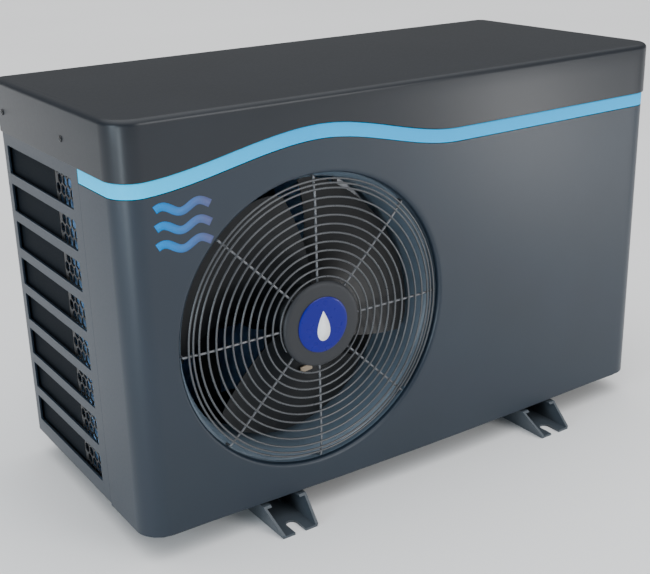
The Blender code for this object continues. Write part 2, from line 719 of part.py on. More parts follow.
def make_partition():
    low, high = (FRONT + 0.008, FOOT_H + STEEL + GAP), (REAR - 0.0055, LID_TOP - 0.006)
    holes = [
        arc((COIL_Y - COIL_T / 2, GAS_PIPE_Z), PIPE_R + 0.003, 0, 330, 11),
        arc((COIL_Y - COIL_T / 2, LIQUID_PIPE_Z), THIN_PIPE_R + 0.003, 0, 330, 11),
    ]
    place = (PARTITION_X + STEEL / 2, 0, 0)
    plate("partition_panel", rectangle(low, high), STEEL, place, GALVANISED, "YZ", holes)


# ---------------------------------------------------------------- refrigeration circuit
def make_compressor():
    low, high = COMPRESSOR_Z
    r = COMPRESSOR_R
    height = high - low
    profile = [(0, height), (r * 0.55, height - 0.004), (r * 0.9, height - 0.014), (r, height - 0.028)]
    profile += [(r, 0.020), (r * 0.92, 0.008), (r * 0.6, 0.0), (0, 0.0)]
    shell = turned("compressor", profile, (*COMPRESSOR, low), BLACK_PAINT, steps=20)
    lug_r, lug_ring = 0.014, 0.072
    outline = []
    for i in range(3):
        angle = 120 * i
        centre = (lug_ring * math.cos(math.radians(angle)), lug_ring * math.sin(math.radians(angle)))
        outline += arc(centre, lug_r, angle - 60, angle + 60, 3)
    foot = plate("compressor_base", outline, 0.004, (*COMPRESSOR, low + 0.0015))
    stub = cylinder("discharge_stub", PIPE_R, 0.020, (*COMPRESSOR, high - 0.010))
    cap = cylinder("terminal_cap", 0.014, 0.020, (COMPRESSOR.x - 0.028, COMPRESSOR.y, high - 0.022))
    join(shell, foot, stub, cap)
    for i in range(3):
        angle = math.radians(120 * i)
        x, y = COMPRESSOR.x + lug_ring * math.cos(angle), COMPRESSOR.y + lug_ring * math.sin(angle)
        cut(shell, cylinder(f"lug_hole_{i + 1}", 0.0045, 0.02, (x, y, low - 0.008)))
        bottom = FOOT_H + STEEL + GAP
        top = low - 0.0005 - GAP - bottom
        profile = [(0.004, top), (0.009, top), (0.0115, top * 0.72), (0.0085, top * 0.5)]
        profile += [(0.0125, top * 0.25), (0.0125, 0.0), (0.004, 0.0)]
        turned(f"compressor_grommet_{i + 1}", profile, (x, y, bottom), RUBBER, steps=12, ring=True)


def make_accumulator():
    r, low, high = 0.026, 0.086, 0.226
    height = high - low
    profile = [(0, height), (r * 0.6, height - 0.004), (r, height - 0.018), (r, 0.018)]
    profile += [(r * 0.6, 0.004), (0, 0)]
    body = turned("suction_accumulator", profile, (*ACCUMULATOR, low), BLACK_PAINT, steps=16)
    join(body, cylinder("accumulator_stub", PIPE_R, 0.020, (*ACCUMULATOR, high - 0.010)))
    towards = (ACCUMULATOR - COMPRESSOR).normalized()
    foot = COMPRESSOR + towards * (COMPRESSOR_R + 0.0006)
    z = low - 0.018
    route = rounded([(*ACCUMULATOR, low + 0.010), (*ACCUMULATOR, z), (*foot, z)], 0.014)
    join(body, tube("accumulator_elbow", route, PIPE_R))


def make_valves():
    half, r = 0.040, 0.013
    profile = [(0, 2 * half), (r * 0.7, 2 * half), (r, 2 * half - 0.004), (r, 0.004), (r * 0.7, 0), (0, 0)]
    body = turned("four_way_valve", profile, (VALVE.x - half, VALVE.y, VALVE.z), BRASS, "X", 14)
    for i, offset in enumerate(VALVE_PORTS):
        port = (VALVE.x + offset, VALVE.y, VALVE.z)
        join(body, cylinder(f"valve_port_{i + 1}", PIPE_R, 0.020, port))
    join(body, cylinder("valve_inlet", PIPE_R, 0.020, (VALVE.x, VALVE.y, VALVE.z - 0.020)))
    low = (VALVE.x - 0.015, VALVE.y - r - 0.030, VALVE.z - 0.014)
    high = (VALVE.x + 0.015, VALVE.y - r - 0.0004, VALVE.z + 0.014)
    block("valve_solenoid", low, high, DARK, 0.003)


def make_filter_and_expansion():
    """On the liquid line: filter drier above, expansion valve with its coil below."""
    x, y = LIQUID_XY
    outlet = EXPANSION_Z + 0.024 + GAP - FILTER_Z
    profile = [(0, 0.050), (0.004, 0.050), (0.011, 0.042), (0.011, 0.008)]
    profile += [(0.004, 0.0), (0.004, outlet), (0, outlet)]
    turned("filter_drier", profile, (x, y, FILTER_Z), COPPER, steps=16)
    profile = [(0, 0.024), (0.004, 0.024), (0.004, 0.018), (0.014, 0.018)]
    profile += [(0.014, 0.002), (0.006, 0.0), (0, 0.0)]
    turned("expansion_valve", profile, (x, y, EXPANSION_Z), BRASS, steps=16)


def make_pipes():
    start, end = COMPRESSOR_Z[1] + 0.010 + GAP, VALVE.z - 0.020 - GAP
    cylinder("discharge_pipe", PIPE_R, end - start, (*COMPRESSOR, start), COPPER)
    left, middle, right = (VALVE.x + offset for offset in VALVE_PORTS)
    top = VALVE.z + 0.020 + GAP
    y = VALVE.y
    suction = [(middle, y, top), (middle, y, 0.352), (middle, ACCUMULATOR.y, 0.352)]
    suction += [(ACCUMULATOR.x, ACCUMULATOR.y, 0.352), (*ACCUMULATOR, 0.236 + GAP)]
    tube("suction_pipe", rounded(suction, 0.015), PIPE_R, COPPER)
    coil_y = COIL_Y - COIL_T / 2
    coil_x = COIL_END[1] + GAP * 2 + STEEL
    gas = [(left, y, top), (left, y, GAS_PIPE_Z), (left, coil_y, GAS_PIPE_Z), (coil_x, coil_y, GAS_PIPE_Z)]
    tube("coil_gas_pipe", rounded(gas, 0.015), PIPE_R, COPPER)
    port_x, port_y = EXCHANGER.x - TITANIUM_PORT, EXCHANGER.y
    gas = [(right, y, top), (right, y, PIPE_TOP_Z), (port_x, port_y, PIPE_TOP_Z)]
    tube("exchanger_gas_pipe", rounded(gas + [(port_x, port_y, TITANIUM_TOP + GAP)], 0.012), PIPE_R, COPPER)
    port_x = EXCHANGER.x + TITANIUM_PORT
    x, y = LIQUID_XY
    liquid = [(port_x, port_y, TITANIUM_TOP + GAP), (port_x, port_y, PIPE_TOP_Z), (x, y, PIPE_TOP_Z)]
    tube("liquid_pipe", rounded(liquid + [(x, y, FILTER_Z + 0.050 + GAP)], 0.012), THIN_PIPE_R, COPPER)
    across = [(x, y, EXPANSION_Z - GAP), (x, y, LIQUID_PIPE_Z), (0.130, y, LIQUID_PIPE_Z)]
    across += [(0.130, coil_y, LIQUID_PIPE_Z), (coil_x, coil_y, LIQUID_PIPE_Z)]
    tube("coil_liquid_pipe", rounded(across, 0.012), THIN_PIPE_R, COPPER)


# ---------------------------------------------------------------- water side
def make_exchanger():
    r, wall_t = EXCHANGER_R, 0.005
    low, high = EXCHANGER_Z
    height = high - low
    outer = [(r, height), (r, 0.014), (r * 0.85, 0.003), (0, 0)]
    inner = [(0, wall_t), (r * 0.8, wall_t + 0.003), (r - wall_t, 0.016), (r - wall_t, height)]
    shell = turned("exchanger_shell", inner + outer, (*EXCHANGER, low), PVC, steps=24)
    start = EXCHANGER.x + r - 0.012
    ports = []
    bores = []
    for name, z in PORT_Z.items():
        place = (start, EXCHANGER.y, z)
        ports.append(cylinder(f"{name}_port", PORT_R, PORT_END - start, place, axis="X", steps=24))
        place = (start - 0.025, EXCHANGER.y, z)
        bores.append(cylinder(f"{name}_bore", PORT_BORE_R, 0.16, place, axis="X", steps=24))
    join(shell, group("water_ports", ports))
    cut(shell, cylinder("switch_hole", 0.0085, 0.03, (PADDLE.x, PADDLE.y, PORT_Z["inlet"] + 0.010)))
    cut(shell, group("water_bores", bores))
    top = high + GAP
    cap_outline = arc((0, 0), r + 0.004, 0, 345, 23)
    holes = [arc((side * TITANIUM_PORT, 0), PIPE_R + 0.0006, 0, 330, 11) for side in (-1, 1)]
    plate("exchanger_cap", cap_outline, 0.014, (*EXCHANGER, top + 0.007), PVC, "XY", holes)
    make_titanium_coil()
    for name, z in PORT_Z.items():
        make_union(name, z)


def make_titanium_coil():
    turns, per_turn, r, high, low = 4, 10, 0.039, 0.330, 0.100
    port = TITANIUM_PORT
    helix = []
    for i in range(turns * per_turn + 1):
        angle = math.pi + 2 * math.pi * i / per_turn
        z = high + (low - high) * i / (turns * per_turn)
        helix.append((r * math.cos(angle), r * math.sin(angle), z))
    route = [(-port, 0, TITANIUM_TOP), (-port, 0, high + 0.014)] + helix
    route += [(-0.020, 0, low - 0.006), (port * 0.6, 0, low - 0.006)]
    route += [(port, 0, low + 0.006), (port, 0, TITANIUM_TOP)]
    coil = tube("titanium_coil", route, PIPE_R, TITANIUM)
    coil.location = (*EXCHANGER, 0)


def make_union(name, z):
    """Tailpiece with its flange against the port, and the nut that would draw it up."""
    start = PORT_END + GAP
    length = TAIL_END - start
    profile = [(0.0195, 0.0), (0.0245, 0.0), (0.0245, 0.003), (0.0222, 0.003)]
    profile += [(0.0222, length), (0.0195, length)]
    turned(f"union_tail_{name}", profile, (start, EXCHANGER.y, z), PVC, "X", 24, ring=True)
    length = NUT_X[1] - NUT_X[0]
    outer, inner, lip = 0.033, PORT_R + 0.0006, 0.0228
    profile = [(inner, 0.0), (outer, 0.0), (outer, length - 0.003), (outer - 0.002, length)]
    profile += [(lip, length), (lip, length - 0.003), (inner, length - 0.003)]
    nut = turned(f"union_nut_{name}", profile, (NUT_X[0], EXCHANGER.y, z), DARK, "X", 24, ring=True)
    for i in range(8):
        angle = math.pi / 4 * i
        low, high = (0.002, -0.003, outer - 0.001), (length - 0.005, 0.003, outer + 0.0025)
        grip = block(f"{name}_grip_{i + 1}", low, high)
        centre = (Vector(low) + Vector(high)) / 2
        turn = Matrix.Rotation(angle, 4, "X")
        grip.matrix_world = Matrix.Translation((NUT_X[0], EXCHANGER.y, z)) @ turn @ Matrix.Translation(centre)
        join(nut, grip)


def make_flow_switch():
    seat = PORT_Z["inlet"] + PORT_BORE_R
    stem = [(0, 0.021), (0.012, 0.021), (0.012, 0.0062), (0.0081, 0.0062), (0.0081, -0.0005), (0, -0.0005)]
    switch = turned("flow_switch", stem, (PADDLE.x, PADDLE.y, seat), BRASS, steps=16)
    low = (PADDLE.x - 0.016, PADDLE.y - 0.016, seat + 0.018)
    high = (PADDLE.x + 0.016, PADDLE.y + 0.016, seat + 0.058)
    join(switch, block("switch_housing", low, high, None, 0.003))
    blade_low, blade_high = (-0.0008, -0.007, -0.029), (0.0008, 0.007, 0.0006)
    paddle = block("flow_paddle", blade_low, blade_high, GALVANISED)
    shift = Matrix.Translation((Vector(blade_low) + Vector(blade_high)) / 2)
    paddle.data.transform(shift)
    paddle.location = PADDLE


# ---------------------------------------------------------------- electrical and controls
def make_control_box():
    low, high = (0.110, -0.150), (0.362, 0.000)
    box_z = (0.414, 0.470)
    open_box("control_box", rectangle(low, high, 0.004, 2), *box_z, STEEL, GALVANISED)
    cover_z = box_z[1] + GAP + STEEL / 2
    cover_low, cover_high = (low[0] - 0.002, low[1] - 0.002), (high[0] + 0.002, high[1] + 0.002)
    plate("control_box_cover", rectangle(cover_low, cover_high), STEEL, (0, 0, cover_z), GALVANISED)
    board_z = 0.4205
    under, over = board_z - 0.0008, board_z + 0.0008
    board = block("circuit_board", (0.122, -0.140, under), (0.290, -0.012, over), BOARD)
    chips = ((0.140, -0.120, 0.020), (0.190, -0.110, 0.028), (0.240, -0.100, 0.016), (0.150, -0.040, 0.024))
    for i, (x, y, tall) in enumerate(chips + ((0.225, -0.045, 0.034),)):
        corner, opposite = (x - 0.012, y - 0.009, board_z), (x + 0.012, y + 0.009, board_z + tall)
        join(board, block(f"component_{i + 1}", corner, opposite))
    cylinder("fan_capacitor", 0.018, 0.046, (0.328, -0.110, box_z[0] + STEEL + GAP), GALVANISED, steps=24)


def make_control_panel():
    """Raised panel with a display window and three keys, under a cover hinged along its top."""
    (x0, x1), (y0, y1), (z0, z1) = CONTROL_X, CONTROL_Y, CONTROL_Z
    outline = rectangle((y0, z0), (y1, z1), 0.006)
    panel = plate("control_panel", outline, x1 - x0, ((x0 + x1) / 2, 0, 0), DARK, "YZ")
    low, high = (x1 - 0.0018, y0 + 0.012, z0 + 0.034), (x1 + 0.01, y1 - 0.012, z0 + 0.076)
    cut(panel, block("display_recess", low, high))
    for name, y in BUTTON_Y.items():
        hole = (x1 - 0.0065, y, BUTTON_Z)
        cut(panel, cylinder(f"{name}_hole", BUTTON_R + 0.0005, 0.02, hole, axis="X", steps=20))
        profile = [(0, BUTTON_L), (BUTTON_R - 0.0008, BUTTON_L), (BUTTON_R, BUTTON_L - 0.0008)]
        profile += [(BUTTON_R, 0), (0, 0)]
        turned(f"button_{name}", profile, (x1 - 0.0043, y, BUTTON_Z), KEYCAP, "X", 20)
    ear = 0.008
    for end, y in (("front", y0), ("rear", y1 - ear)):
        low, high = (x1 - 0.004, y, z1 - 0.004), (COVER_X[1] + 0.001, y + ear, HINGE.z + 0.003)
        join(panel, block(f"hinge_ear_{end}", low, high))
    low, high = y0 + ear + 0.0006, y1 - ear - 0.0006
    cover = block("display_cover", (COVER_X[0], low, z0 - 0.001), (COVER_X[1], high, HINGE.z), CLEAR)
    cover.data.transform(Matrix.Translation(Vector(cover.location) - HINGE))
    cover.location = HINGE
    join(cover, cylinder("cover_barrel", 0.0024, high - low, (HINGE.x, high, HINGE.z), axis="-Y"))


def make_cable_gland():
    profile = [(0.0045, 0.024), (0.0085, 0.024), (0.011, 0.018), (0.0150, 0.018), (0.0150, 0.0024)]
    profile += [(0.0100, 0.0024), (0.0100, -0.010), (0.0045, -0.010)]
    turned("cable_gland", profile, (HALF_W - 0.002, GLAND.x, GLAND.y), DARK, "X", 14, ring=True)


def hang_on_cabinet_frame():
    """Parents every object to the empty that carries the cabinet's frame."""
    frame = bpy.data.objects.new("cabinet_frame", None)
    frame.location = (CABINET_X, 0, 0)
    bpy.context.scene.collection.objects.link(frame)
    for collection in (parts, cutters):
        for item in collection.objects:
            item.parent = frame


def shade_round_pieces():
    for item in parts.objects:
        item.data.shade_smooth()
        item.data.set_sharp_from_angle(angle=math.radians(35))


make_front_panel()
make_accent_strip()
make_top_cover()
make_side_panels()
make_rear()
make_side_screens()
make_base()
make_fan_guard()
make_hub_disc()
make_shroud()
make_fan()
make_motor_bracket()
make_coil()
make_partition()
make_compressor()
make_accumulator()
make_valves()
make_filter_and_expansion()
make_pipes()
make_exchanger()
make_flow_switch()
make_control_box()
make_control_panel()
make_cable_gland()
hang_on_cabinet_frame()
shade_round_pieces()
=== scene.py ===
"""Studio picture of a pool heat pump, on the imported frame."""

import json
import math

import bmesh
import bpy
from mathutils import Matrix, Vector


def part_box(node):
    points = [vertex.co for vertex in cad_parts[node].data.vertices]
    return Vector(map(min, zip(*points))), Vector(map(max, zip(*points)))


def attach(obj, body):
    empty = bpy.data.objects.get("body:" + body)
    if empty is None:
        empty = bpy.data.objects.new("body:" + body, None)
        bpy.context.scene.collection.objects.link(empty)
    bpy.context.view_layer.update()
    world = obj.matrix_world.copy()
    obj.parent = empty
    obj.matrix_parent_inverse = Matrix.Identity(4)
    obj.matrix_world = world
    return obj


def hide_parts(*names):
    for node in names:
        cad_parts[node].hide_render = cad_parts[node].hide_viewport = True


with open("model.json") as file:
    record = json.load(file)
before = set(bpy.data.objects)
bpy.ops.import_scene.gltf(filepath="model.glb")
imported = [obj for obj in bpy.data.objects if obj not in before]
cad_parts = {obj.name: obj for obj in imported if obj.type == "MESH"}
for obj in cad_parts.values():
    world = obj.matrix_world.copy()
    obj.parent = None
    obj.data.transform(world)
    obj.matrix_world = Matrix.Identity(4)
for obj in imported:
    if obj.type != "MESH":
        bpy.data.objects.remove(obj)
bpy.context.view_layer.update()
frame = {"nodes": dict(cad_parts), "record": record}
nodes = frame["nodes"]

# ---------------------------------------------------------------- the frame's main lines
PANEL_LOW, PANEL_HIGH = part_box("front_panel")
SIDE_LOW, SIDE_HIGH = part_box("left_side_panel")
DISC_LOW, DISC_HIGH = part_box("guard_hub_disc")
BADGE_LOW, BADGE_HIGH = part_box("hub_badge")
SHROUD_LOW, SHROUD_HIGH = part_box("fan_shroud")
COIL_LOW, COIL_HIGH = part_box("evaporator_coil")

BOW = 0.006  # how far the face stands out at its middle
CORNER_R = 0.030  # front corners in plan
REAR_R = 0.012  # rear corners in plan
WALL = 0.0026  # thickness of the panels
GAP = 0.0003  # half of a joint between panel, trim and lid
OVERHANG = 0.002  # how far the lid stands out past the panels
MIDDLE = (PANEL_LOW.x + PANEL_HIGH.x) / 2
HALF = (PANEL_HIGH.x - PANEL_LOW.x) / 2
FRONT = PANEL_LOW.y + BOW
REAR = SIDE_HIGH.y
WRAP_Y = PANEL_HIGH.y
PANEL_Z = PANEL_LOW.z
LID_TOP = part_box("top_cover")[1].z
SHAFT_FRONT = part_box("motor_shaft")[0].y
FAN = Vector(((DISC_LOW.x + DISC_HIGH.x) / 2, 0, (DISC_LOW.z + DISC_HIGH.z) / 2))
OPENING_R = 0.171  # fan opening
LIP_R = 0.0045  # rounded lip of the opening
STRIP_H = 0.0165  # height of the trim strip
WAVE_LEVEL = PANEL_Z + 0.381  # joint of panel and trim, away from the wave
WAVE_RISE = 0.0305  # height of the wave
WAVE_X = (MIDDLE - 0.360, MIDDLE - 0.145, MIDDLE + 0.045)  # its start, crest and end
SKIRT_Z = WAVE_LEVEL + STRIP_H  # lower edge of the lid at the sides


# ---------------------------------------------------------------- materials
class Nodes:
    """A material's node tree with short calls."""

    def __init__(self, name):
        self.material = bpy.data.materials.new(name)
        self.material.use_nodes = True
        self.tree = self.material.node_tree
        self.shader = self.tree.nodes["Principled BSDF"]
        self.place = self.add("ShaderNodeTexCoord").outputs["Object"]

    def add(self, kind, **settings):
        made = self.tree.nodes.new(kind)
        for key, value in settings.items():
            setattr(made, key, value)
        return made

    def link(self, a, b):
        self.tree.links.new(a, b)

    def noise(self, scale, detail=2.0, stretch=None):
        made = self.add("ShaderNodeTexNoise")
        made.inputs["Scale"].default_value = scale
        made.inputs["Detail"].default_value = detail
        source = self.place
        if stretch:
            mapping = self.add("ShaderNodeMapping")
            mapping.inputs["Scale"].default_value = stretch
            self.link(source, mapping.inputs["Vector"])
            source = mapping.outputs["Vector"]
        self.link(source, made.inputs["Vector"])
        return made.outputs["Fac"]

    def ramp(self, factor, *stops):
        made = self.add("ShaderNodeValToRGB")
        elements = made.color_ramp.elements
        while len(elements) < len(stops):
            elements.new(0.5)
        for element, (where, colour) in zip(elements, stops):
            element.position = where
            element.color = (*colour, 1)
        self.link(factor, made.inputs["Fac"])
        return made.outputs["Color"]

    def span(self, factor, low, high, start=0.0, end=1.0):
        made = self.add("ShaderNodeMapRange")
        for key, value in (("From Min", start), ("From Max", end), ("To Min", low), ("To Max", high)):
            made.inputs[key].default_value = value
        self.link(factor, made.inputs["Value"])
        return made.outputs["Result"]

    def bump(self, height, strength, distance):
        made = self.add("ShaderNodeBump")
        made.inputs["Strength"].default_value = strength
        made.inputs["Distance"].default_value = distance
        self.link(height, made.inputs["Height"])
        return made.outputs["Normal"]

    def set(self, **values):
        for key, value in values.items():
            name = key.replace("_", " ")
            self.shader.inputs[name].default_value = value


def shade(colour, factor):
    """A colour made lighter or darker."""
    return tuple(min(1.0, c * factor) for c in colour)


def moulded(name, colour, rough, grain=1500.0, depth=0.00006, vary=0.07, spread=0.05, gloss=0.5):
    """Moulded or painted surface: fine grain, slight clouding of colour and gloss."""
    m = Nodes(name)
    cloud = m.noise(9.0, 3.0)
    fine = m.noise(grain, 2.0)
    speck = m.noise(grain * 0.35, 1.0)
    low, high = shade(colour, 1 - vary), shade(colour, 1 + vary)
    m.link(m.ramp(cloud, (0.3, low), (0.7, high)), m.shader.inputs["Base Color"])
    m.link(m.span(speck, rough - spread, rough + spread, 0.3, 0.7), m.shader.inputs["Roughness"])
    m.link(m.bump(fine, 0.35, depth), m.shader.inputs["Normal"])
    m.set(Specular_IOR_Level=gloss)
    return m.material


def metal(name, colour, rough, stretch=(1.0, 1.0, 0.04), vary=0.08, metallic=1.0):
    """Bare or plated metal with a directional brushing."""
    m = Nodes(name)
    cloud = m.noise(14.0, 4.0)
    lines = m.noise(600.0, 3.0, stretch)
    low, high = shade(colour, 1 - vary), shade(colour, 1 + vary)
    m.link(m.ramp(cloud, (0.3, low), (0.7, high)), m.shader.inputs["Base Color"])
    m.link(m.span(lines, rough - 0.08, rough + 0.10, 0.3, 0.7), m.shader.inputs["Roughness"])
    m.link(m.bump(lines, 0.18, 0.00005), m.shader.inputs["Normal"])
    m.set(Metallic=metallic)
    return m.material


def zinc():
    """Galvanised sheet with its crystal pattern."""
    m = Nodes("zinc_sheet")
    cells = m.add("ShaderNodeTexVoronoi", feature="F1")
    cells.inputs["Scale"].default_value = 90.0
    m.link(m.place, cells.inputs["Vector"])
    grey = m.add("ShaderNodeSeparateColor")
    m.link(cells.outputs["Color"], grey.inputs["Color"])
    tone = m.ramp(grey.outputs["Red"], (0.0, (0.36, 0.37, 0.39)), (1.0, (0.55, 0.56, 0.58)))
    m.link(tone, m.shader.inputs["Base Color"])
    m.link(m.span(grey.outputs["Green"], 0.32, 0.52), m.shader.inputs["Roughness"])
    m.link(m.bump(m.noise(500.0, 3.0), 0.15, 0.00004), m.shader.inputs["Normal"])
    m.set(Metallic=0.9)
    return m.material


def print_and_highlight_gradient(name, low, high, rough, start, end):
    """Film whose colour changes from left to right: the print's own colours on the waves, a painted
    highlight at the trim's left corner.
    """
    m = Nodes(name)
    parts = m.add("ShaderNodeSeparateXYZ")
    m.link(m.place, parts.inputs["Vector"])
    along = m.span(parts.outputs["X"], 0.0, 1.0, start, end)
    m.link(m.ramp(along, (0.0, low), (1.0, high)), m.shader.inputs["Base Color"])
    m.link(m.span(m.noise(700.0, 2.0), rough - 0.05, rough + 0.05, 0.3, 0.7), m.shader.inputs["Roughness"])
    m.link(m.bump(m.noise(1500.0, 2.0), 0.2, 0.00004), m.shader.inputs["Normal"])
    m.set(Specular_IOR_Level=0.12)
    return m.material


def clear_plastic():
    """Lightly smoked clear plastic."""
    m = Nodes("smoked_clear")
    tint = m.ramp(m.noise(12.0, 2.0), (0.3, (0.55, 0.60, 0.63)), (0.7, (0.62, 0.67, 0.70)))
    m.link(tint, m.shader.inputs["Base Color"])
    m.link(m.span(m.noise(60.0, 3.0), 0.03, 0.09, 0.3, 0.7), m.shader.inputs["Roughness"])
    m.link(m.bump(m.noise(300.0, 2.0), 0.05, 0.00003), m.shader.inputs["Normal"])
    m.set(Transmission_Weight=0.92, IOR=1.49, Specular_IOR_Level=0.15)
    return m.material


def board_green():
    """Circuit board with fine tracks."""
    m = Nodes("board_green")
    tracks = m.add("ShaderNodeTexBrick")
    tracks.inputs["Scale"].default_value = 160.0
    tracks.inputs["Color1"].default_value = (0.01, 0.12, 0.04, 1)
    tracks.inputs["Color2"].default_value = (0.015, 0.16, 0.06, 1)
    tracks.inputs["Mortar"].default_value = (0.03, 0.24, 0.09, 1)
    m.link(m.place, tracks.inputs["Vector"])
    m.link(tracks.outputs["Color"], m.shader.inputs["Base Color"])
    m.link(m.span(m.noise(400.0), 0.25, 0.4, 0.3, 0.7), m.shader.inputs["Roughness"])
    m.link(m.bump(tracks.outputs["Fac"], 0.4, 0.0001), m.shader.inputs["Normal"])
    return m.material


def pale_floor():
    """Matt studio floor."""
    m = Nodes("floor_white")
    tone = m.ramp(m.noise(0.8, 2.0), (0.3, (0.80, 0.80, 0.80)), (0.7, (0.83, 0.83, 0.83)))
    m.link(tone, m.shader.inputs["Base Color"])
    m.link(m.bump(m.noise(300.0), 0.05, 0.0001), m.shader.inputs["Normal"])
    m.set(Roughness=0.9, Specular_IOR_Level=0.05)
    return m.material


CASE = moulded("case_anthracite", (0.0100, 0.0182, 0.0298), 0.38, 900.0, 0.000015, 0.07, 0.015, gloss=0.42)
TOP = moulded("lid_anthracite", (0.0125, 0.0152, 0.0198), 0.34, 900.0, 0.000012, 0.07, 0.012, gloss=0.30)
# Lighter towards the left corner: a painted highlight on the trim.
TRIM_PAINTED_HIGHLIGHT = print_and_highlight_gradient("trim_painted_highlight", (0.0, 0.58, 1.0), (0.0, 0.39, 0.80), 0.50, MIDDLE - HALF, MIDDLE - HALF + 0.2)
DARK = moulded("black_moulded", (0.008, 0.009, 0.011), 0.55, gloss=0.4)
NET = moulded("net_black", (0.014, 0.014, 0.015), 0.5)
FOOT = moulded("foot_paint", (0.045, 0.056, 0.068), 0.38, 900.0, 0.00008)
# Shroud and opening collar are far lighter than the casing: painted light on the lit bell-mouth wall.
PAINTED_LIT_SHROUD = moulded("shroud_painted_light", (0.125, 0.172, 0.222), 0.34)
BLADE = moulded("blade_grey", (0.0058, 0.0066, 0.0080), 0.38, gloss=0.36)
WIRE = moulded("guard_coating", (0.045, 0.048, 0.053), 0.32, 1200.0, 0.00003, 0.05, 0.05, gloss=0.6)
# Spokes are a lighter copy of the guard coating: a painted highlight.
SPOKE_PAINTED_HIGHLIGHT = moulded("spoke_painted_highlight", (0.11, 0.115, 0.125), 0.26, 1200.0, 0.00003, 0.05, 0.04, gloss=0.7)
DISC = moulded("disc_grey", (0.020, 0.0215, 0.025), 0.50, gloss=0.3)
BADGE = moulded("badge_blue", (0.0, 0.0006, 0.17), 0.28, 300.0, 0.0000008, 0.04, 0.01, gloss=0.25)
WHITE = moulded("print_white", (0.80, 0.81, 0.83), 0.40, 1200.0, 0.00003, 0.02)
PRINT = print_and_highlight_gradient("print_blue", (0.0, 0.19, 0.52), (0.085, 0.105, 0.23), 0.45, MIDDLE - 0.335, MIDDLE - 0.284)
MOTOR = moulded("motor_paint", (0.008, 0.008, 0.009), 0.32, 700.0, 0.0001)
ZINC = zinc()
STEEL = metal("ground_steel", (0.45, 0.45, 0.46), 0.30)
ALUMINIUM = metal("drawn_aluminium", (0.62, 0.62, 0.64), 0.32)
FINS = metal("fin_blue", (0.36, 0.60, 0.92), 0.42, (1.0, 1.0, 0.2), 0.15, 0.1)
# Far darker than the casing: painted shade behind the side slots.
BAFFLE_PAINTED_SHADE = moulded("baffle_painted_shade", (0.0045, 0.0068, 0.0100), 0.75, gloss=0.10)
COPPER = metal("copper", (0.72, 0.33, 0.18), 0.28)
BRASS = metal("brass", (0.70, 0.50, 0.22), 0.34)
TITANIUM = metal("titanium", (0.40, 0.40, 0.42), 0.34)
RUBBER = moulded("rubber", (0.010, 0.010, 0.010), 0.80, 500.0, 0.0002)
PVC = moulded("pvc_grey", (0.13, 0.135, 0.145), 0.42)
BOARD = board_green()
CLEAR = clear_plastic()
KEYCAP = moulded("keycap_grey", (0.36, 0.37, 0.39), 0.45)
SCREEN = moulded("screen_glass", (0.003, 0.009, 0.018), 0.14, 400.0, 0.000002, 0.1, 0.02)
MARKS = moulded("screen_marks", (0.25, 0.70, 0.85), 0.40, 900.0, 0.00002, 0.03)
# Dark paint: the base tray's own, and painted shade on the motor bracket inside the fan.
TRAY_PAINT_AND_SHADE = moulded("tray_paint_and_painted_shade", (0.012, 0.014, 0.017), 0.45, 900.0)
CREAM = moulded("cream_nylon", (0.45, 0.36, 0.26), 0.45)

FINISHES = {
    "casing": CASE,
    "accent": TRIM_PAINTED_HIGHLIGHT,
    "dark_plastic": DARK,
    "dark_paint": FOOT,
    "guard_wire": WIRE,
    "badge": BADGE,
    "motor_paint": MOTOR,
    "galvanised": ZINC,
    "steel": STEEL,
    "can_aluminium": ALUMINIUM,
    "coil_fins": FINS,
    "copper": COPPER,
    "brass": BRASS,
    "titanium": TITANIUM,
    "rubber": RUBBER,
    "pvc": PVC,
    "board": BOARD,
    "clear_cover": CLEAR,
    "keycap": KEYCAP,
}
for entry in frame["record"]["subparts"]:
    kept = nodes[entry["node"]]
    kept.data.materials.clear()
    kept.data.materials.append(FINISHES[entry["material_slot"]])
# The baffle behind the slots takes a darker copy of the casing: painted shade.
nodes["coil_corner_baffle"].data.materials[0] = BAFFLE_PAINTED_SHADE
# The galvanised motor bracket takes the tray's dark paint: painted shade inside the fan.
for name in ("base_tray", "motor_bracket"):
    nodes[name].data.materials[0] = TRAY_PAINT_AND_SHADE


# ---------------------------------------------------------------- mesh helpers
def finish_mesh(name, made, material, body="cabinet", smooth=35.0, weld=1e-6):
    """Turns a bmesh into a piece that rides on a body."""
    if weld:
        bmesh.ops.remove_doubles(made, verts=made.verts, dist=weld)
    mesh = bpy.data.meshes.new(name)
    made.to_mesh(mesh)
    made.free()
    piece = bpy.data.objects.new(name, mesh)
    bpy.context.scene.collection.objects.link(piece)
    mesh.materials.append(material)
    if smooth:
        mesh.shade_smooth()
        mesh.set_sharp_from_angle(angle=math.radians(smooth))
    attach(piece, body)
    return piece


def thicken(piece, thickness, round_edge=0.0):
    """Gives a sheet its thickness behind the face, and rounds its edges."""
    solid = piece.modifiers.new("thickness", "SOLIDIFY")
    solid.thickness = thickness
    solid.offset = -1
    solid.use_even_offset = True
    if round_edge:
        soften(piece, round_edge)


def soften(piece, width, limit=40.0):
    """Rounds the edges that are sharper than a limit in degrees."""
    edge = piece.modifiers.new("soft_edges", "BEVEL")
    edge.width = width
    edge.segments = 2
    edge.limit_method = "ANGLE"
    edge.angle_limit = math.radians(limit)
    edge.harden_normals = True
    edge.use_clamp_overlap = True


def arc(centre, radius, start, end, count):
    """Points along an arc between two angles in degrees."""
    angles = [math.radians(start + (end - start) * i / count) for i in range(count + 1)]
    return [(centre[0] + radius * math.cos(a), centre[1] + radius * math.sin(a)) for a in angles]


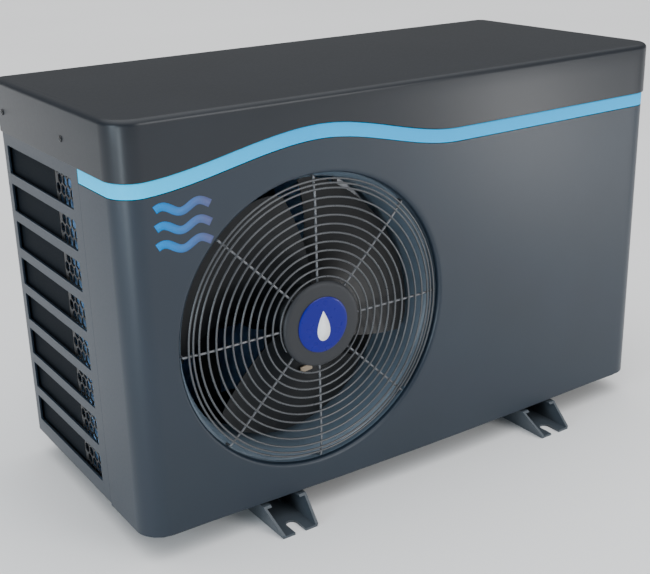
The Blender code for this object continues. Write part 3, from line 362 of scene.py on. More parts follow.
def grid(made, rows, closed=False):
    """Faces between rows of vertices."""
    for low, high in zip(rows, rows[1:]):
        count = len(low)
        for i in range(count if closed else count - 1):
            j = (i + 1) % count
            made.faces.new((low[i], low[j], high[j], high[i]))


def lathe(made, profile, centre, axis, steps=64):
    """Surface of (radius, distance) points turned about an axis through centre."""
    axis = Vector(axis).normalized()
    side = axis.orthogonal().normalized()
    other = axis.cross(side)
    rows = []
    for radius, along in profile:
        place = Vector(centre) + axis * along
        if radius < 1e-7:
            rows.append([made.verts.new(place)] * steps)
            continue
        ring = []
        for i in range(steps):
            a = 2 * math.pi * i / steps
            ring.append(made.verts.new(place + (side * math.cos(a) + other * math.sin(a)) * radius))
        rows.append(ring)
    for low, high in zip(rows, rows[1:]):
        for i in range(steps):
            j = (i + 1) % steps
            corners = []
            for vert in (low[i], low[j], high[j], high[i]):
                if vert not in corners:
                    corners.append(vert)
            if len(corners) > 2:
                made.faces.new(corners)


def turned(name, profile, centre, axis, material, steps=64, ring=True):
    """A piece turned from a profile, which is closed to a ring on request."""
    made = bmesh.new()
    lathe(made, profile + profile[:1] if ring else profile, centre, axis, steps)
    bmesh.ops.recalc_face_normals(made, faces=made.faces)
    return finish_mesh(name, made, material)


def aim(made, direction):
    """Makes a sheet look along a direction, judged by the face that shows most that way."""
    bmesh.ops.recalc_face_normals(made, faces=made.faces)
    direction = Vector(direction)
    chosen = max(made.faces, key=lambda face: face.calc_area() * abs(face.normal.dot(direction)))
    if chosen.normal.dot(direction) < 0:
        bmesh.ops.reverse_faces(made, faces=made.faces)


def wire(made, points, radius, sides=8):
    """Round wire through points, with flat ends."""
    points = [Vector(p) for p in points]
    normal = None
    rings = []
    for i, here in enumerate(points):
        before = points[max(0, i - 1)]
        after = points[min(len(points) - 1, i + 1)]
        along = (after - before).normalized()
        if normal is None:
            normal = along.orthogonal().normalized()
        normal = (normal - along * normal.dot(along)).normalized()
        other = along.cross(normal)
        ring = []
        for k in range(sides):
            a = 2 * math.pi * k / sides
            ring.append(made.verts.new(here + (normal * math.cos(a) + other * math.sin(a)) * radius))
        rings.append(ring)
    grid(made, rings, closed=True)
    made.faces.new(rings[0][::-1])
    made.faces.new(rings[-1])


def box_faces(made, low, high, turn=None):
    """Adds a box between two corners, moved by a matrix if one is given."""
    low, high = Vector(low), Vector(high)
    verts = bmesh.ops.create_cube(made, size=1.0)["verts"]
    bmesh.ops.scale(made, vec=high - low, verts=verts)
    bmesh.ops.translate(made, vec=(low + high) / 2, verts=verts)
    if turn:
        bmesh.ops.transform(made, matrix=turn, verts=verts)


def placed(place, right, up, out):
    """Matrix that puts something at a place, on three axes of its own."""
    return Matrix.Translation(place) @ Matrix((right, up, out)).transposed().to_4x4()


def filled(outline, holes):
    """Flat face with holes in its own plane, as a bmesh."""
    curve = bpy.data.curves.new("outline", "CURVE")
    curve.dimensions = "2D"
    curve.fill_mode = "BOTH"
    for loop in (outline, *holes):
        spline = curve.splines.new("POLY")
        spline.points.add(len(loop) - 1)
        for point, (u, v) in zip(spline.points, loop):
            point.co = (u, v, 0, 1)
        spline.use_cyclic_u = True
    source = bpy.data.objects.new("outline", curve)
    bpy.context.scene.collection.objects.link(source)
    bpy.context.view_layer.update()
    view = source.evaluated_get(bpy.context.evaluated_depsgraph_get())
    made = bmesh.new()
    made.from_mesh(bpy.data.meshes.new_from_object(view))
    bpy.data.objects.remove(source)
    bmesh.ops.remove_doubles(made, verts=made.verts, dist=1e-6)
    return made


def rectangle(low, high, radius=0.0, count=4):
    """Outline of a rectangle, with rounded corners if a radius is given."""
    (u0, v0), (u1, v1) = low, high
    if not radius:
        return [(u0, v0), (u1, v0), (u1, v1), (u0, v1)]
    r = radius
    return (
        arc((u0 + r, v0 + r), r, 180, 270, count)
        + arc((u1 - r, v0 + r), r, 270, 360, count)
        + arc((u1 - r, v1 - r), r, 0, 90, count)
        + arc((u0 + r, v1 - r), r, 90, 180, count)
    )


# ---------------------------------------------------------------- shared curves
def bow(x):
    """How far the face stands out at x."""
    t = min(1.0, abs(x - MIDDLE) / (HALF - CORNER_R))
    return BOW * (1 - t * t) ** 1.5


def wave(x):
    """Height of the joint between panel and trim at x."""
    start, crest, end = WAVE_X
    t = (x - start) / (crest - start) if x < crest else (end - x) / (end - crest)
    t = min(max(t, 0.0), 1.0)
    return WAVE_LEVEL + WAVE_RISE * t * t * (3 - 2 * t)


def corner(side, grow):
    """Front corner in plan, on the left (-1) or the right (1), from left to right."""
    centre = (MIDDLE + side * (HALF - CORNER_R), FRONT + CORNER_R)
    start = 180 if side < 0 else 270
    return arc(centre, CORNER_R + grow, start, start + 90, 12)


def face_line(grow):
    """The bowed face in plan between the corners, without its ends."""
    inner, count = HALF - CORNER_R, 72
    xs = [MIDDLE - inner + 2 * inner * i / count for i in range(1, count)]
    return [(x, FRONT - grow - bow(x)) for x in xs]


def front_line(grow=0.0):
    """Plan of the front panel with both corners, from left to right."""
    edge = HALF + grow
    ends = ((MIDDLE - edge, WRAP_Y), (MIDDLE + edge, WRAP_Y))
    return [ends[0]] + corner(-1, grow) + face_line(grow) + corner(1, grow) + [ends[1]]


def whole_line(grow):
    """Plan of the lid, counter-clockwise from the front left corner."""
    radius = REAR_R + grow
    inner, back = HALF - REAR_R, REAR - REAR_R
    rear = arc((MIDDLE + inner, back), radius, 0, 90, 8) + arc((MIDDLE - inner, back), radius, 90, 180, 8)
    return corner(-1, grow) + face_line(grow) + corner(1, grow) + rear


def plan_y(x):
    """Front surface's y at x, round the left corner included."""
    inner = MIDDLE - (HALF - CORNER_R)
    if x < inner:
        return FRONT + CORNER_R - math.sqrt(max(0.0, CORNER_R**2 - (inner - x) ** 2))
    return FRONT - bow(x)


# ---------------------------------------------------------------- front panel
def face_vert(made, x, z, depth=0.0):
    """A vertex on the bowed face, or a depth behind it."""
    return made.verts.new((x, FRONT - bow(x) + depth, z))


def panel_column(made, x, y):
    """Vertices from the panel's lower edge up to the joint with the trim."""
    levels = 36
    top = wave(x) - GAP
    return [made.verts.new((x, y, PANEL_Z + (top - PANEL_Z) * k / levels)) for k in range(levels + 1)]


def opening_rows(made, border):
    """Rows from a border on the face in to the opening, over its lip and back to the shroud."""
    rings = 12
    rim_r = OPENING_R + LIP_R
    rim = []
    for vert in border:
        angle = math.atan2(vert.co.z - FAN.z, vert.co.x - FAN.x)
        rim.append((math.cos(angle), math.sin(angle)))
    rows = [border]
    for i in range(1, rings + 1):
        t = (i / rings) ** 0.8
        row = []
        for vert, (c, s) in zip(border, rim):
            x = vert.co.x * (1 - t) + (FAN.x + rim_r * c) * t
            z = vert.co.z * (1 - t) + (FAN.z + rim_r * s) * t
            row.append(face_vert(made, x, z))
        rows.append(row)
    quarter = (0.26, 0.52, 0.79, 1.05, 1.31, 1.57)  # a quarter turn in six steps
    lip = [(rim_r - LIP_R * math.sin(a), LIP_R * (1 - math.cos(a))) for a in quarter]
    lip += [(OPENING_R - 0.0003, 0.0070), (OPENING_R - 0.0008, 0.0095)]
    for radius, depth in lip:
        rows.append([face_vert(made, FAN.x + radius * c, FAN.z + radius * s, depth) for c, s in rim])
    seat_y = SHROUD_LOW.y - 0.0010
    rows.append([made.verts.new((vert.co.x, seat_y, vert.co.z)) for vert in rows[-1]])
    return rows


def make_front():
    """The bowed panel with its wrapped corners and its fan opening."""
    made = bmesh.new()
    # the part of the face that holds the opening, between two columns of its own
    left, right, across = FAN.x - 0.192, FAN.x + 0.196, 44
    clear = 0.002
    line = front_line()
    columns_left = [panel_column(made, x, y) for x, y in line if x < left - clear]
    first = panel_column(made, left, FRONT - bow(left))
    last = panel_column(made, right, FRONT - bow(right))
    columns_right = [panel_column(made, x, y) for x, y in line if x > right + clear]
    for group in (columns_left + [first], [last] + columns_right):
        grid(made, [list(row) for row in zip(*group)])
    xs = [left + (right - left) * i / across for i in range(1, across)]
    upper = [face_vert(made, x, wave(x) - GAP) for x in xs]
    lower = [face_vert(made, x, PANEL_Z) for x in xs]
    grid(made, opening_rows(made, first + upper + last[::-1] + lower[::-1]), closed=True)
    bmesh.ops.remove_doubles(made, verts=made.verts, dist=1e-6)
    aim(made, (0, -1, 0))
    # Faces deep in the opening take the shroud's lighter material: painted light on the collar.
    collar_depth = 0.0060
    for face in made.faces:
        middle = face.calc_center_median()
        inside = math.hypot(middle.x - FAN.x, middle.z - FAN.z) < OPENING_R
        deep = middle.y > FRONT - bow(middle.x) + collar_depth
        face.material_index = 1 if inside and deep else 0
    piece = finish_mesh("casing_front", made, CASE)
    piece.data.materials.append(PAINTED_LIT_SHROUD)
    thicken(piece, WALL, 0.0004)
    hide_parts("front_panel")


def make_trim():
    """Blue strip along the joint between panel and lid."""
    made = bmesh.new()
    line = front_line(-0.0001)
    height, steps = STRIP_H - 2 * GAP, 4
    rows = []
    for k in range(steps + 1):
        rows.append([made.verts.new((x, y, wave(x) + GAP + height * k / steps)) for x, y in line])
    grid(made, rows)
    piece = finish_mesh("trim_strip", made, TRIM_PAINTED_HIGHLIGHT)
    thicken(piece, WALL, 0.0005)
    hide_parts("accent_strip")


# ---------------------------------------------------------------- lid
def make_lid():
    """Top cover with a skirt that follows the trim and a rounded top edge."""
    made = bmesh.new()
    round_r, sheet = 0.0065, 0.003
    base = whole_line(OVERHANG)
    lows = [wave(x) + STRIP_H + GAP if y < WRAP_Y else SKIRT_Z for x, y in base]
    rows = []
    shoulder, steps = LID_TOP - round_r, 7
    for t in (0.0, 0.04, 0.3, 0.65, 1.0):
        rows.append([made.verts.new((x, y, low + (shoulder - low) * t)) for (x, y), low in zip(base, lows)])
    for i in range(1, steps + 1):
        a = math.pi / 2 * i / steps
        inset, z = round_r * (1 - math.cos(a)), shoulder + round_r * math.sin(a)
        rows.append([made.verts.new((x, y, z)) for x, y in whole_line(OVERHANG - inset)])
    grid(made, rows, closed=True)
    made.faces.new(rows[-1])
    bmesh.ops.recalc_face_normals(made, faces=made.faces)
    piece = finish_mesh("casing_lid", made, TOP, smooth=30)
    thicken(piece, sheet, 0.0006)
    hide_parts("top_cover")


# ---------------------------------------------------------------- sides, net, coil and rear guard
def make_side(name, side, holes, node):
    """A flat side with holes, a rounded rear corner and a short return across the back."""
    under_skirt, back_return = 0.0004, 0.033
    low, high = SIDE_LOW.z, SKIRT_Z - under_skirt
    start, end = WRAP_Y + GAP, REAR - REAR_R
    made = filled(rectangle((start, low), (end, high)), holes)
    x = MIDDLE + side * HALF
    for vert in made.verts:
        vert.co = Vector((x, vert.co.x, vert.co.y))
    bend = arc((HALF - REAR_R, end), REAR_R, 0, 90, 10) + [(HALF - back_return, REAR)]
    columns = [[made.verts.new((MIDDLE + side * u, v, z)) for z in (low, high)] for u, v in bend]
    grid(made, columns)
    bmesh.ops.remove_doubles(made, verts=made.verts, dist=1e-5)
    aim(made, (side, 0, 0))
    piece = finish_mesh(name, made, CASE, smooth=25)
    thicken(piece, WALL, 0.0003)
    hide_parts(node)


def round_hole(name, radius, count):
    """Outline of a round hole in a side, centred on a piece of the frame."""
    low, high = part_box(name)
    centre = ((low.y + high.y) / 2, (low.z + high.z) / 2)
    return arc(centre, radius, 0, 360 - 360 / count, count - 1)


def make_sides():
    """Left side with eight slots, right side with holes for the unions and the cable gland."""
    lowest, pitch, height = PANEL_Z + 0.022, 0.0466, 0.034
    front, back = -0.050, 0.146
    slots = []
    for i in range(8):
        z = lowest + pitch * i
        slots.append(rectangle((front, z), (back, z + height), 0.0015, 3))
    make_side("casing_side_left", -1, slots, "left_side_panel")
    holes = [
        round_hole("union_nut_inlet", 0.0262, 48),
        round_hole("union_nut_outlet", 0.0262, 48),
        round_hole("cable_gland", 0.0105, 24),
    ]
    make_side("casing_side_right", 1, holes, "right_side_panel")


def make_net():
    """Hexagonal net over the coil, behind the front ends of the slots."""
    low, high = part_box("side_coil_net")
    pitch, cell, web, border = 0.0132, 0.0070, 0.0012, 0.006
    step = pitch * 0.866
    holes = []
    for row in range(int((high.z - low.z) / step)):
        z = low.z + border + row * step
        if z > high.z - border:
            break
        y = low.y + 0.007 + (pitch / 2 if row % 2 else 0.0)
        while y < high.y - 0.0065:
            holes.append(arc((y, z), cell - web / 2, 30, 330, 5))
            y += pitch
    made = filled(rectangle((low.y, low.z), (high.y, high.z)), holes)
    x = high.x - 0.0015
    for vert in made.verts:
        vert.co = Vector((x, vert.co.x, vert.co.y))
    aim(made, (-1, 0, 0))
    piece = finish_mesh("coil_net", made, NET, smooth=None)
    thicken(piece, 0.0014)
    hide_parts("side_coil_net")


def coil_line():
    """Centre line of the coil in plan with its direction, as a function of distance."""
    half_deep, bend = 0.020, 0.032
    x0, y1 = COIL_LOW.x + half_deep, COIL_HIGH.y - half_deep
    legs = (y1 - bend - COIL_LOW.y, COIL_HIGH.x - (x0 + bend))
    turn = bend * math.pi / 2

    def at(s):
        if s < legs[0]:
            return Vector((x0, COIL_LOW.y + s, 0)), Vector((0, 1, 0))
        if s < legs[0] + turn:
            a = (s - legs[0]) / bend
            centre = Vector((x0 + bend, y1 - bend, 0))
            out = Vector((-math.cos(a), math.sin(a), 0))
            return centre + out * bend, Vector((math.sin(a), math.cos(a), 0))
        return Vector((x0 + bend + s - legs[0] - turn, y1, 0)), Vector((1, 0, 0))

    return at, legs[0] + turn + legs[1]


FIN_LOW, FIN_HIGH = COIL_LOW.z + 0.002, COIL_HIGH.z - 0.002


def make_fins():
    """Thin upright fins across the coil's line."""
    made = bmesh.new()
    at, length = coil_line()
    pitch, half_deep, half_thick = 0.0019, 0.0195, 0.00022
    count = int(length / pitch)
    for i in range(count + 1):
        place, along = at(length * i / count)
        turn = placed(place, (along.y, -along.x, 0), along, (0, 0, 1))
        box_faces(made, (-half_deep, -half_thick, FIN_LOW), (half_deep, half_thick, FIN_HIGH), turn)
    piece = finish_mesh("coil_fin_pack", made, FINS, smooth=None, weld=0)
    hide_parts("evaporator_coil")


def make_tubes():
    """Two lanes of copper tubes through the fins, a quarter step apart in height."""
    made = bmesh.new()
    at, length = coil_line()
    rows, steps, offset = 16, 60, 0.0095
    for row in range(rows):
        for lane in (-offset, offset):
            z = FIN_LOW + (FIN_HIGH - FIN_LOW) * (row + (0.5 if lane > 0 else 0.25)) / rows
            points = []
            for i in range(steps + 1):
                place, along = at(length * i / steps)
                across = Vector((along.y, -along.x, 0))
                points.append(place + across * lane + Vector((0, 0, z)))
            wire(made, points, 0.0040)
    finish_mesh("coil_tubes", made, COPPER, weld=0)


def make_rear_guard():
    """Wire guard over the coil at the back, in a folded frame."""
    low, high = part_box("rear_coil_guard")
    y = (low.y + high.y) / 2
    end, folded = 0.006, 0.010
    uprights, bars = 36, 9
    made = bmesh.new()
    for i in range(1, uprights):
        x = low.x + (high.x - low.x) * i / uprights
        wire(made, [(x, y + 0.0006, low.z + end), (x, y + 0.0006, high.z - end)], 0.0010, 6)
    for i in range(bars):
        z = low.z + folded + (high.z - low.z - 2 * folded) * i / (bars - 1)
        wire(made, [(low.x + end, y - 0.0012, z), (high.x - end, y - 0.0012, z)], 0.0012, 6)
    mesh_piece = finish_mesh("rear_guard_wires", made, DARK, weld=0)
    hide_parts("rear_coil_guard")
    outer = rectangle((low.x, low.z), (high.x, high.z), 0.002)
    inner = rectangle((low.x + folded, low.z + folded), (high.x - folded, high.z - folded), 0.006)
    made = filled(outer, [inner])
    for vert in made.verts:
        vert.co = Vector((vert.co.x, high.y, vert.co.y))
    aim(made, (0, 1, 0))
    border = finish_mesh("rear_guard_frame", made, DARK, smooth=None)
    thicken(border, 0.003, 0.0006)


# ---------------------------------------------------------------- fan
GUARD_FLAT_R = 0.142  # the guard is flat up to this radius
GUARD_R = 0.1645  # and fully set back from this one
GUARD_Y = DISC_HIGH.y + 0.0020  # depth of its flat part
RIM_BACK = 0.0020  # how far its rim is set back
SPOKE_R = 0.1670  # where the spokes bend back to the shroud
DOME_DROP = 0.45  # share of the badge's height that its dome loses towards the rim


def guard_y(radius):
    """Depth of the spiral at a radius."""
    t = min(1.0, max(0.0, (radius - GUARD_FLAT_R) / (GUARD_R - GUARD_FLAT_R)))
    return GUARD_Y + RIM_BACK * t * t * (3 - 2 * t)


def around(radius, angle, y):
    """A point about the fan's axis."""
    return Vector((FAN.x + radius * math.cos(angle), y, FAN.z + radius * math.sin(angle)))


def make_spiral():
    """One wire wound from the hub disc out to the opening, closer in its last turns."""
    made = bmesh.new()
    turns, per_turn, inner = 12.7, 96, 0.0505
    pitch, wide_turns, rim_pitch = 0.0100, 10.4, 0.0050
    start = math.radians(-44)
    spiral = []
    for i in range(int(turns * per_turn) + 1):
        turn = i / per_turn
        radius = inner + pitch * min(turn, wide_turns) + rim_pitch * max(0.0, turn - wide_turns)
        spiral.append(around(radius, start + 2 * math.pi * (turns - turn), guard_y(radius)))
    wire(made, spiral, 0.0012)
    piece = finish_mesh("guard_spiral", made, WIRE, smooth=60, weld=0)
    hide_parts("fan_guard")


def make_spokes():
    """Eight spokes behind the spiral, bent back to the shroud at their ends."""
    made = bmesh.new()
    behind, inner, bend_r, steps = 0.0026, 0.030, 0.0015, 24
    foot_y = SHROUD_LOW.y - 0.0006
    for k in range(8):
        line = []
        for i in range(steps + 1):
            radius = inner + (SPOKE_R - inner) * i / steps
            line.append(around(radius, math.pi / 4 * k, guard_y(radius) + behind))
        end = line[-1]
        out = (end - line[-2]).normalized()
        for a in (0.5, 1.0, 1.57):
            line.append(end + out * bend_r * math.sin(a) + Vector((0, bend_r * (1 - math.cos(a)), 0)))
        line.append(Vector((line[-1].x, foot_y, line[-1].z)))
        wire(made, line, 0.0014)
    # The spokes' lighter coating is a painted highlight.
    finish_mesh("guard_spokes", made, SPOKE_PAINTED_HIGHLIGHT, smooth=60, weld=0)


def make_disc():
    """Hub disc with a rounded rim and a flat front round the badge."""
    r = (DISC_HIGH.x - DISC_LOW.x) / 2
    depth = DISC_HIGH.y - DISC_LOW.y
    profile = [(0.0, depth), (BADGE_HIGH.x - FAN.x + 0.0008, depth)]
    profile += [(r - 0.006, depth), (r - 0.0030, depth - 0.0003), (r - 0.0012, depth - 0.0012)]
    profile += [(r - 0.0003, depth - 0.0026), (r, depth - 0.0038), (r - 0.0004, 0.0), (0.0, 0.0)]
    centre = (FAN.x, DISC_HIGH.y, FAN.z)
    piece = turned("hub_disc", profile, centre, (0, -1, 0), DISC, steps=96, ring=False)
    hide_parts("guard_hub_disc")


def make_badge():
    """Domed badge in the middle of the hub disc."""
    r = (BADGE_HIGH.x - BADGE_LOW.x) / 2
    tall = BADGE_HIGH.y - BADGE_LOW.y
    steps, dome = 8, 0.93
    profile = [(0.0, tall)]
    for i in range(1, steps + 1):
        u = i / steps * dome
        profile.append((r * u, tall * (1 - DOME_DROP * u * u)))
    profile += [(r * 0.975, tall * 0.45), (r, tall * 0.2), (r, 0.0), (0.0, 0.0)]
    centre = (FAN.x, BADGE_HIGH.y, FAN.z)
    piece = turned("badge_dome", profile, centre, (0, -1, 0), BADGE, steps=96, ring=False)
    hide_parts("hub_badge")


def make_shroud():
    """Bell-mouth ring round the fan."""
    deep = SHROUD_HIGH.y - SHROUD_LOW.y
    flange, mouth, throat = 0.190, 0.1735, 0.161
    bell, wall_t, steps = 0.022, 0.0025, 12
    profile = [(flange, 0.0), (mouth, 0.0)]
    for i in range(1, steps + 1):
        a = math.pi / 2 * i / steps
        profile.append((mouth - (mouth - throat) * math.sin(a), -bell * (1 - math.cos(a))))
    profile += [(throat, -0.050), (throat, -deep)]
    profile += [(throat + wall_t, -deep), (throat + wall_t, -bell)]
    behind = mouth + 0.0010
    for i in range(steps - 1, 0, -1):
        a = math.pi / 2 * i / steps
        inward = (behind - throat - wall_t) * math.sin(a)
        profile.append((behind - inward, -wall_t - (bell - wall_t) * (1 - math.cos(a))))
    profile += [(behind + 0.0005, -wall_t), (flange, -wall_t)]
    centre = (FAN.x, SHROUD_LOW.y, FAN.z)
    # The shroud's light grey is painted light on its inner wall.
    piece = turned("bell_mouth", profile, centre, (0, -1, 0), PAINTED_LIT_SHROUD, steps=128)
    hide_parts("fan_shroud")


ROTOR_Y = SHAFT_FRONT + 0.044  # middle of the blades


def blade_point(turn, t, s, side):
    """A point on one side of a blade, at t from root to tip and s across its width."""
    root, tip, hook = 0.033, 0.1525, 0.007
    radius = root + (tip - root) * t
    span = math.radians(92 + 8 * t)
    sweep = math.radians(30 * t - 8 * t * t)
    depth = 0.030 - 0.006 * t
    angle = turn + sweep + s * span
    edge = abs(2 * s - 1)
    radius -= max(0.0, (t - 0.9) / 0.1) ** 2 * edge**14 * hook
    camber = 0.004 * math.sin(math.pi * s) * t
    half_thick = 0.00125 * (1 - edge**10 * 0.6)
    return around(radius, angle, ROTOR_Y + (2 * s - 1) * depth + camber + side * half_thick)


def border_of(rows):
    """The vertices round the border of a grid, in order."""
    there = rows[0] + [row[-1] for row in rows[1:]]
    return there + rows[-1][-2::-1] + [row[0] for row in rows[-2:0:-1]]


def make_rotor():
    """Three wide blades on a hub, riding on the fan body."""
    made = bmesh.new()
    along, across = 20, 40
    for k in range(3):
        turn = math.radians(198 + 120 * k)
        sheets = []
        for side in (-1, 1):
            rows = []
            for i in range(along + 1):
                points = [blade_point(turn, i / along, j / across, side) for j in range(across + 1)]
                rows.append([made.verts.new(point) for point in points])
            sheets.append(rows)
        front, back = sheets
        grid(made, front)
        grid(made, [row[::-1] for row in back])
        grid(made, [border_of(front), border_of(back)], closed=True)
    bore, hub_r = 0.0066, 0.036
    hub = [(bore, 0.034), (0.027, 0.034), (0.031, 0.0325), (0.034, 0.0295), (hub_r, 0.025)]
    hub += [(hub_r, -0.029), (hub_r - 0.001, -0.030), (bore, -0.030)]
    lathe(made, hub + hub[:1], (FAN.x, ROTOR_Y, FAN.z), (0, -1, 0), 64)
    bmesh.ops.recalc_face_normals(made, faces=made.faces)
    piece = finish_mesh("rotor_blades", made, BLADE, "fan", smooth=40)
    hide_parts("fan_rotor")


def make_weight():
    """Balance weight on the front of a blade, near the hub."""
    made = bmesh.new()
    angle, radius, depth = math.radians(285), 0.090, 0.0569
    half_size = Vector((0.0095, 0.0036, 0.0014))
    ahead = Vector((0.28, -0.95, 0.16)).normalized()
    across = (Vector((1, 0, 0)) - ahead * ahead.x).normalized()
    place = around(radius, angle, SHAFT_FRONT + depth) + ahead * 0.0012
    box_faces(made, -half_size, half_size, placed(place, across, ahead.cross(across), ahead))
    bmesh.ops.recalc_face_normals(made, faces=made.faces)
    piece = finish_mesh("balance_weight", made, CREAM, "fan", smooth=None)
    soften(piece, 0.0005)


# ---------------------------------------------------------------- graphics
def ribbon(name, points, width, lift, depth, material):
    """A flat band along points (x, z), standing just proud of the front panel."""
    made = bmesh.new()
    rows = [[], []]
    for i, (x, z) in enumerate(points):
        ax, az = points[max(0, i - 1)]
        bx, bz = points[min(len(points) - 1, i + 1)]
        along = Vector((bx - ax, bz - az)).normalized()
        for row, half in zip(rows, (-width / 2, width / 2)):
            u, v = x - along.y * half, z + along.x * half
            row.append(made.verts.new((u, plan_y(u) - lift, v)))
    grid(made, rows)
    aim(made, (0, -1, 0))
    thicken(finish_mesh(name, made, material), depth)


def make_graphic():
    """Three water waves, printed under the trim at the left."""
    left, right = MIDDLE - 0.340, MIDDLE - 0.279
    highest, pitch, width, swing = PANEL_Z + 0.366, 0.0195, 0.0085, 0.0040
    steps, periods, phase = 40, 1.5, 0.4
    for k in range(3):
        points = []
        for i in range(steps + 1):
            t = i / steps
            z = highest - pitch * k + swing * math.sin(2 * math.pi * t * periods + phase)
            points.append((left + (right - left) * t, z))
        ribbon(f"wave_print_{k + 1}", points, width, 0.00015, 0.0003, PRINT)


def make_screen():
    """Display glass in the control panel's recess, with plain bar marks."""
    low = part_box("control_panel")[0]
    rim = low.x + 0.0121
    back, face, mark_face = rim - 0.0016, rim - 0.0008, rim - 0.0006
    y0, y1 = low.y + 0.0125, low.y + 0.0795
    z0, z1 = low.z + 0.0345, low.z + 0.0755
    made = bmesh.new()
    box_faces(made, (back, y0, z0), (face, y1, z1))
    bmesh.ops.recalc_face_normals(made, faces=made.faces)
    finish_mesh("display_glass", made, SCREEN, smooth=None)
    made = bmesh.new()
    foot = z0 + 0.008
    for i in range(6):
        y, tall = y0 + 0.010 + 0.0065 * i, 0.006 + 0.0036 * i
        box_faces(made, (face, y, foot), (mark_face, y + 0.0040, foot + tall))
    for z in (foot, foot + 0.008):
        box_faces(made, (face, y0 + 0.052, z), (mark_face, y0 + 0.060, z + 0.0025))
    bmesh.ops.recalc_face_normals(made, faces=made.faces)
    finish_mesh("display_marks", made, MARKS, smooth=None)


def make_emblem():
    """A white drop that follows the badge's dome."""
    half_wide, half_tall, steps = 0.0112, 0.0180, 48
    centre_z = FAN.z - 0.001
    outline = []
    for i in range(steps):
        a = 2 * math.pi * i / steps
        x = half_wide * math.sin(a) * math.sin(a / 2) ** 1.1
        outline.append((FAN.x + x, centre_z + half_tall * math.cos(a)))
    made = filled(outline, [])
    dome_r, tall = 0.0325, BADGE_HIGH.y - BADGE_LOW.y
    for vert in made.verts:
        r = math.hypot(vert.co.x - FAN.x, vert.co.y - FAN.z)
        y = BADGE_LOW.y + DOME_DROP * tall * (r / dome_r) ** 2 - 0.0001
        vert.co = Vector((vert.co.x, y, vert.co.y))
    aim(made, (0, -1, 0))
    thicken(finish_mesh("badge_drop", made, WHITE), 0.0004)


# ---------------------------------------------------------------- fasteners
def screw(name, place, axis):
    """Pan-head screw with a dished recess."""
    r, tall = 0.0036, 0.0016
    profile = [(0.0, 0.0), (r, 0.0), (r, tall * 0.3), (r * 0.86, tall * 0.75), (r * 0.55, tall)]
    profile += [(r * 0.42, tall), (r * 0.16, tall * 0.35), (0.0, tall * 0.3)]
    made = bmesh.new()
    lathe(made, profile, place, axis, 20)
    bmesh.ops.recalc_face_normals(made, faces=made.faces)
    finish_mesh(name, made, MOTOR)


def make_screws():
    """Screws in the lid's side skirts, the rear returns and the rear panel."""
    lid_z, lid_ys, return_zs = 0.4535, (-0.038, 0.142), (0.052, 0.405)
    rear_xs, rear_zs = (MIDDLE + 0.12, MIDDLE + 0.32), (0.045, 0.415)
    places = []
    for side in (-1, 1):
        for y in lid_ys:
            places.append(((MIDDLE + side * (HALF + OVERHANG), y, lid_z), (side, 0, 0)))
    for side in (-1, 1):
        for z in return_zs:
            places.append(((MIDDLE + side * (HALF - 0.020), REAR, z), (0, 1, 0)))
    for x in rear_xs:
        for z in rear_zs:
            places.append(((x, REAR, z), (0, 1, 0)))
    for i, (place, axis) in enumerate(places):
        screw(f"case_screw_{i + 1}", place, axis)


make_front()
make_trim()
make_lid()
make_sides()
make_net()
make_fins()
make_tubes()
make_rear_guard()
make_spiral()
make_spokes()
make_disc()
make_badge()
make_shroud()
make_rotor()
make_graphic()
make_weight()
make_screen()
make_emblem()
make_screws()
for name, width in (("foot_rail_left", 0.0007), ("foot_rail_right", 0.0007), ("control_panel", 0.0008)):
    soften(nodes[name], width, 35.0)


# ---------------------------------------------------------------- stage
SKY = ((0.0, 0.05), (0.5, 0.09), (1.0, 1.0))  # height and light, from straight down to straight up


def area(name, place, target, width, height, energy, colour=(1, 1, 1)):
    """A soft light at a place, turned to its target and hidden from the camera."""
    light = bpy.data.lights.new(name, "AREA")
    light.shape = "RECTANGLE"
    light.size, light.size_y = width, height
    light.energy = energy
    light.color = colour
    made = bpy.data.objects.new(name, light)
    made.location = place
    made.rotation_euler = (Vector(target) - Vector(place)).to_track_quat("-Z", "Y").to_euler()
    made.visible_camera = False
    bpy.context.scene.collection.objects.link(made)


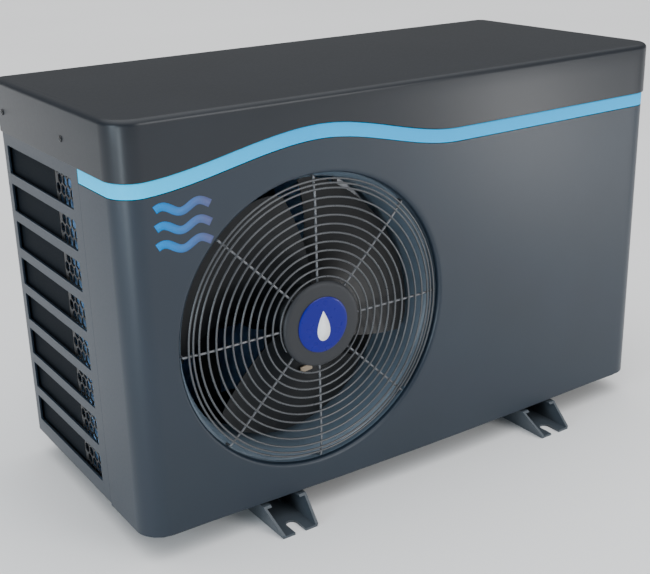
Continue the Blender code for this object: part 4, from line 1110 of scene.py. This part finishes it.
def make_stage():
    """Wide floor, studio light and four soft lamps."""
    made = bmesh.new()
    size, steps = 24.0, 10
    rows = []
    for i in range(steps + 1):
        v = -size + 2 * size * i / steps
        rows.append([made.verts.new((-size + 2 * size * j / steps, v, 0)) for j in range(steps + 1)])
    grid(made, rows)
    mesh = bpy.data.meshes.new("floor")
    made.to_mesh(mesh)
    made.free()
    mesh.materials.append(pale_floor())
    floor = bpy.data.objects.new("floor", mesh)
    bpy.context.scene.collection.objects.link(floor)
    studio_world()
    area("key_left", (-2.4, -0.6, 0.6), (-0.3, 0, 0.25), 0.8, 0.8, 21, (0.74, 0.89, 1.0))
    area("corner_strip", (-1.55, -0.92, 0.22), (-0.40, -0.15, 0.25), 0.12, 0.36, 5.2, (0.80, 0.92, 1.0))
    area("front_right", (0.9, -2.6, 1.3), (0.1, 0, 0.25), 1.4, 1.0, 36)
    area("band_strip", (1.08, -1.14, 0.18), (0.20, -0.17, 0.25), 0.12, 0.30, 3.3)


def studio_world():
    """Overhead light that fades towards the horizon. The camera sees a plain pale backdrop instead."""
    world = bpy.data.worlds.new("studio")
    world.use_nodes = True
    tree = world.node_tree
    place = tree.nodes.new("ShaderNodeTexCoord")
    parts = tree.nodes.new("ShaderNodeSeparateXYZ")
    ramp = tree.nodes.new("ShaderNodeValToRGB")
    ramp.color_ramp.elements.new(0.5)
    for element, (height, level) in zip(ramp.color_ramp.elements, SKY):
        element.position = height
        element.color = (level * 0.97, level * 0.985, level, 1)
    light = tree.nodes["Background"]
    light.inputs["Strength"].default_value = 3.0
    backdrop = tree.nodes.new("ShaderNodeBackground")
    backdrop.inputs["Color"].default_value = (1.08, 1.08, 1.09, 1)
    path = tree.nodes.new("ShaderNodeLightPath")
    mix = tree.nodes.new("ShaderNodeMixShader")
    tree.links.new(place.outputs["Generated"], parts.inputs["Vector"])
    tree.links.new(parts.outputs["Z"], ramp.inputs["Fac"])
    tree.links.new(ramp.outputs["Color"], light.inputs["Color"])
    tree.links.new(path.outputs["Is Camera Ray"], mix.inputs[0])
    tree.links.new(light.outputs["Background"], mix.inputs[1])
    tree.links.new(backdrop.outputs["Background"], mix.inputs[2])
    tree.links.new(mix.outputs["Shader"], tree.nodes["World Output"].inputs["Surface"])
    bpy.context.scene.world = world


# ---------------------------------------------------------------- camera
def make_camera():
    """Stands where a fit to the cabinet's edges in the photograph put the lens."""
    data = bpy.data.cameras.new("camera")
    data.lens = 62.0
    data.clip_start, data.clip_end = 0.05, 50
    camera = bpy.data.objects.new("camera", data)
    place = Vector((-0.8153, -1.1426, 0.7082))
    right = Vector((0.82838, -0.55967, -0.02361))
    down = Vector((-0.21359, -0.27661, -0.93694))
    ahead = Vector((0.51785, 0.78119, -0.34868))
    camera.matrix_world = placed(place, right, -down, -ahead)
    bpy.context.scene.collection.objects.link(camera)
    bpy.context.scene.camera = camera


make_stage()
make_camera()
bpy.context.view_layer.update()
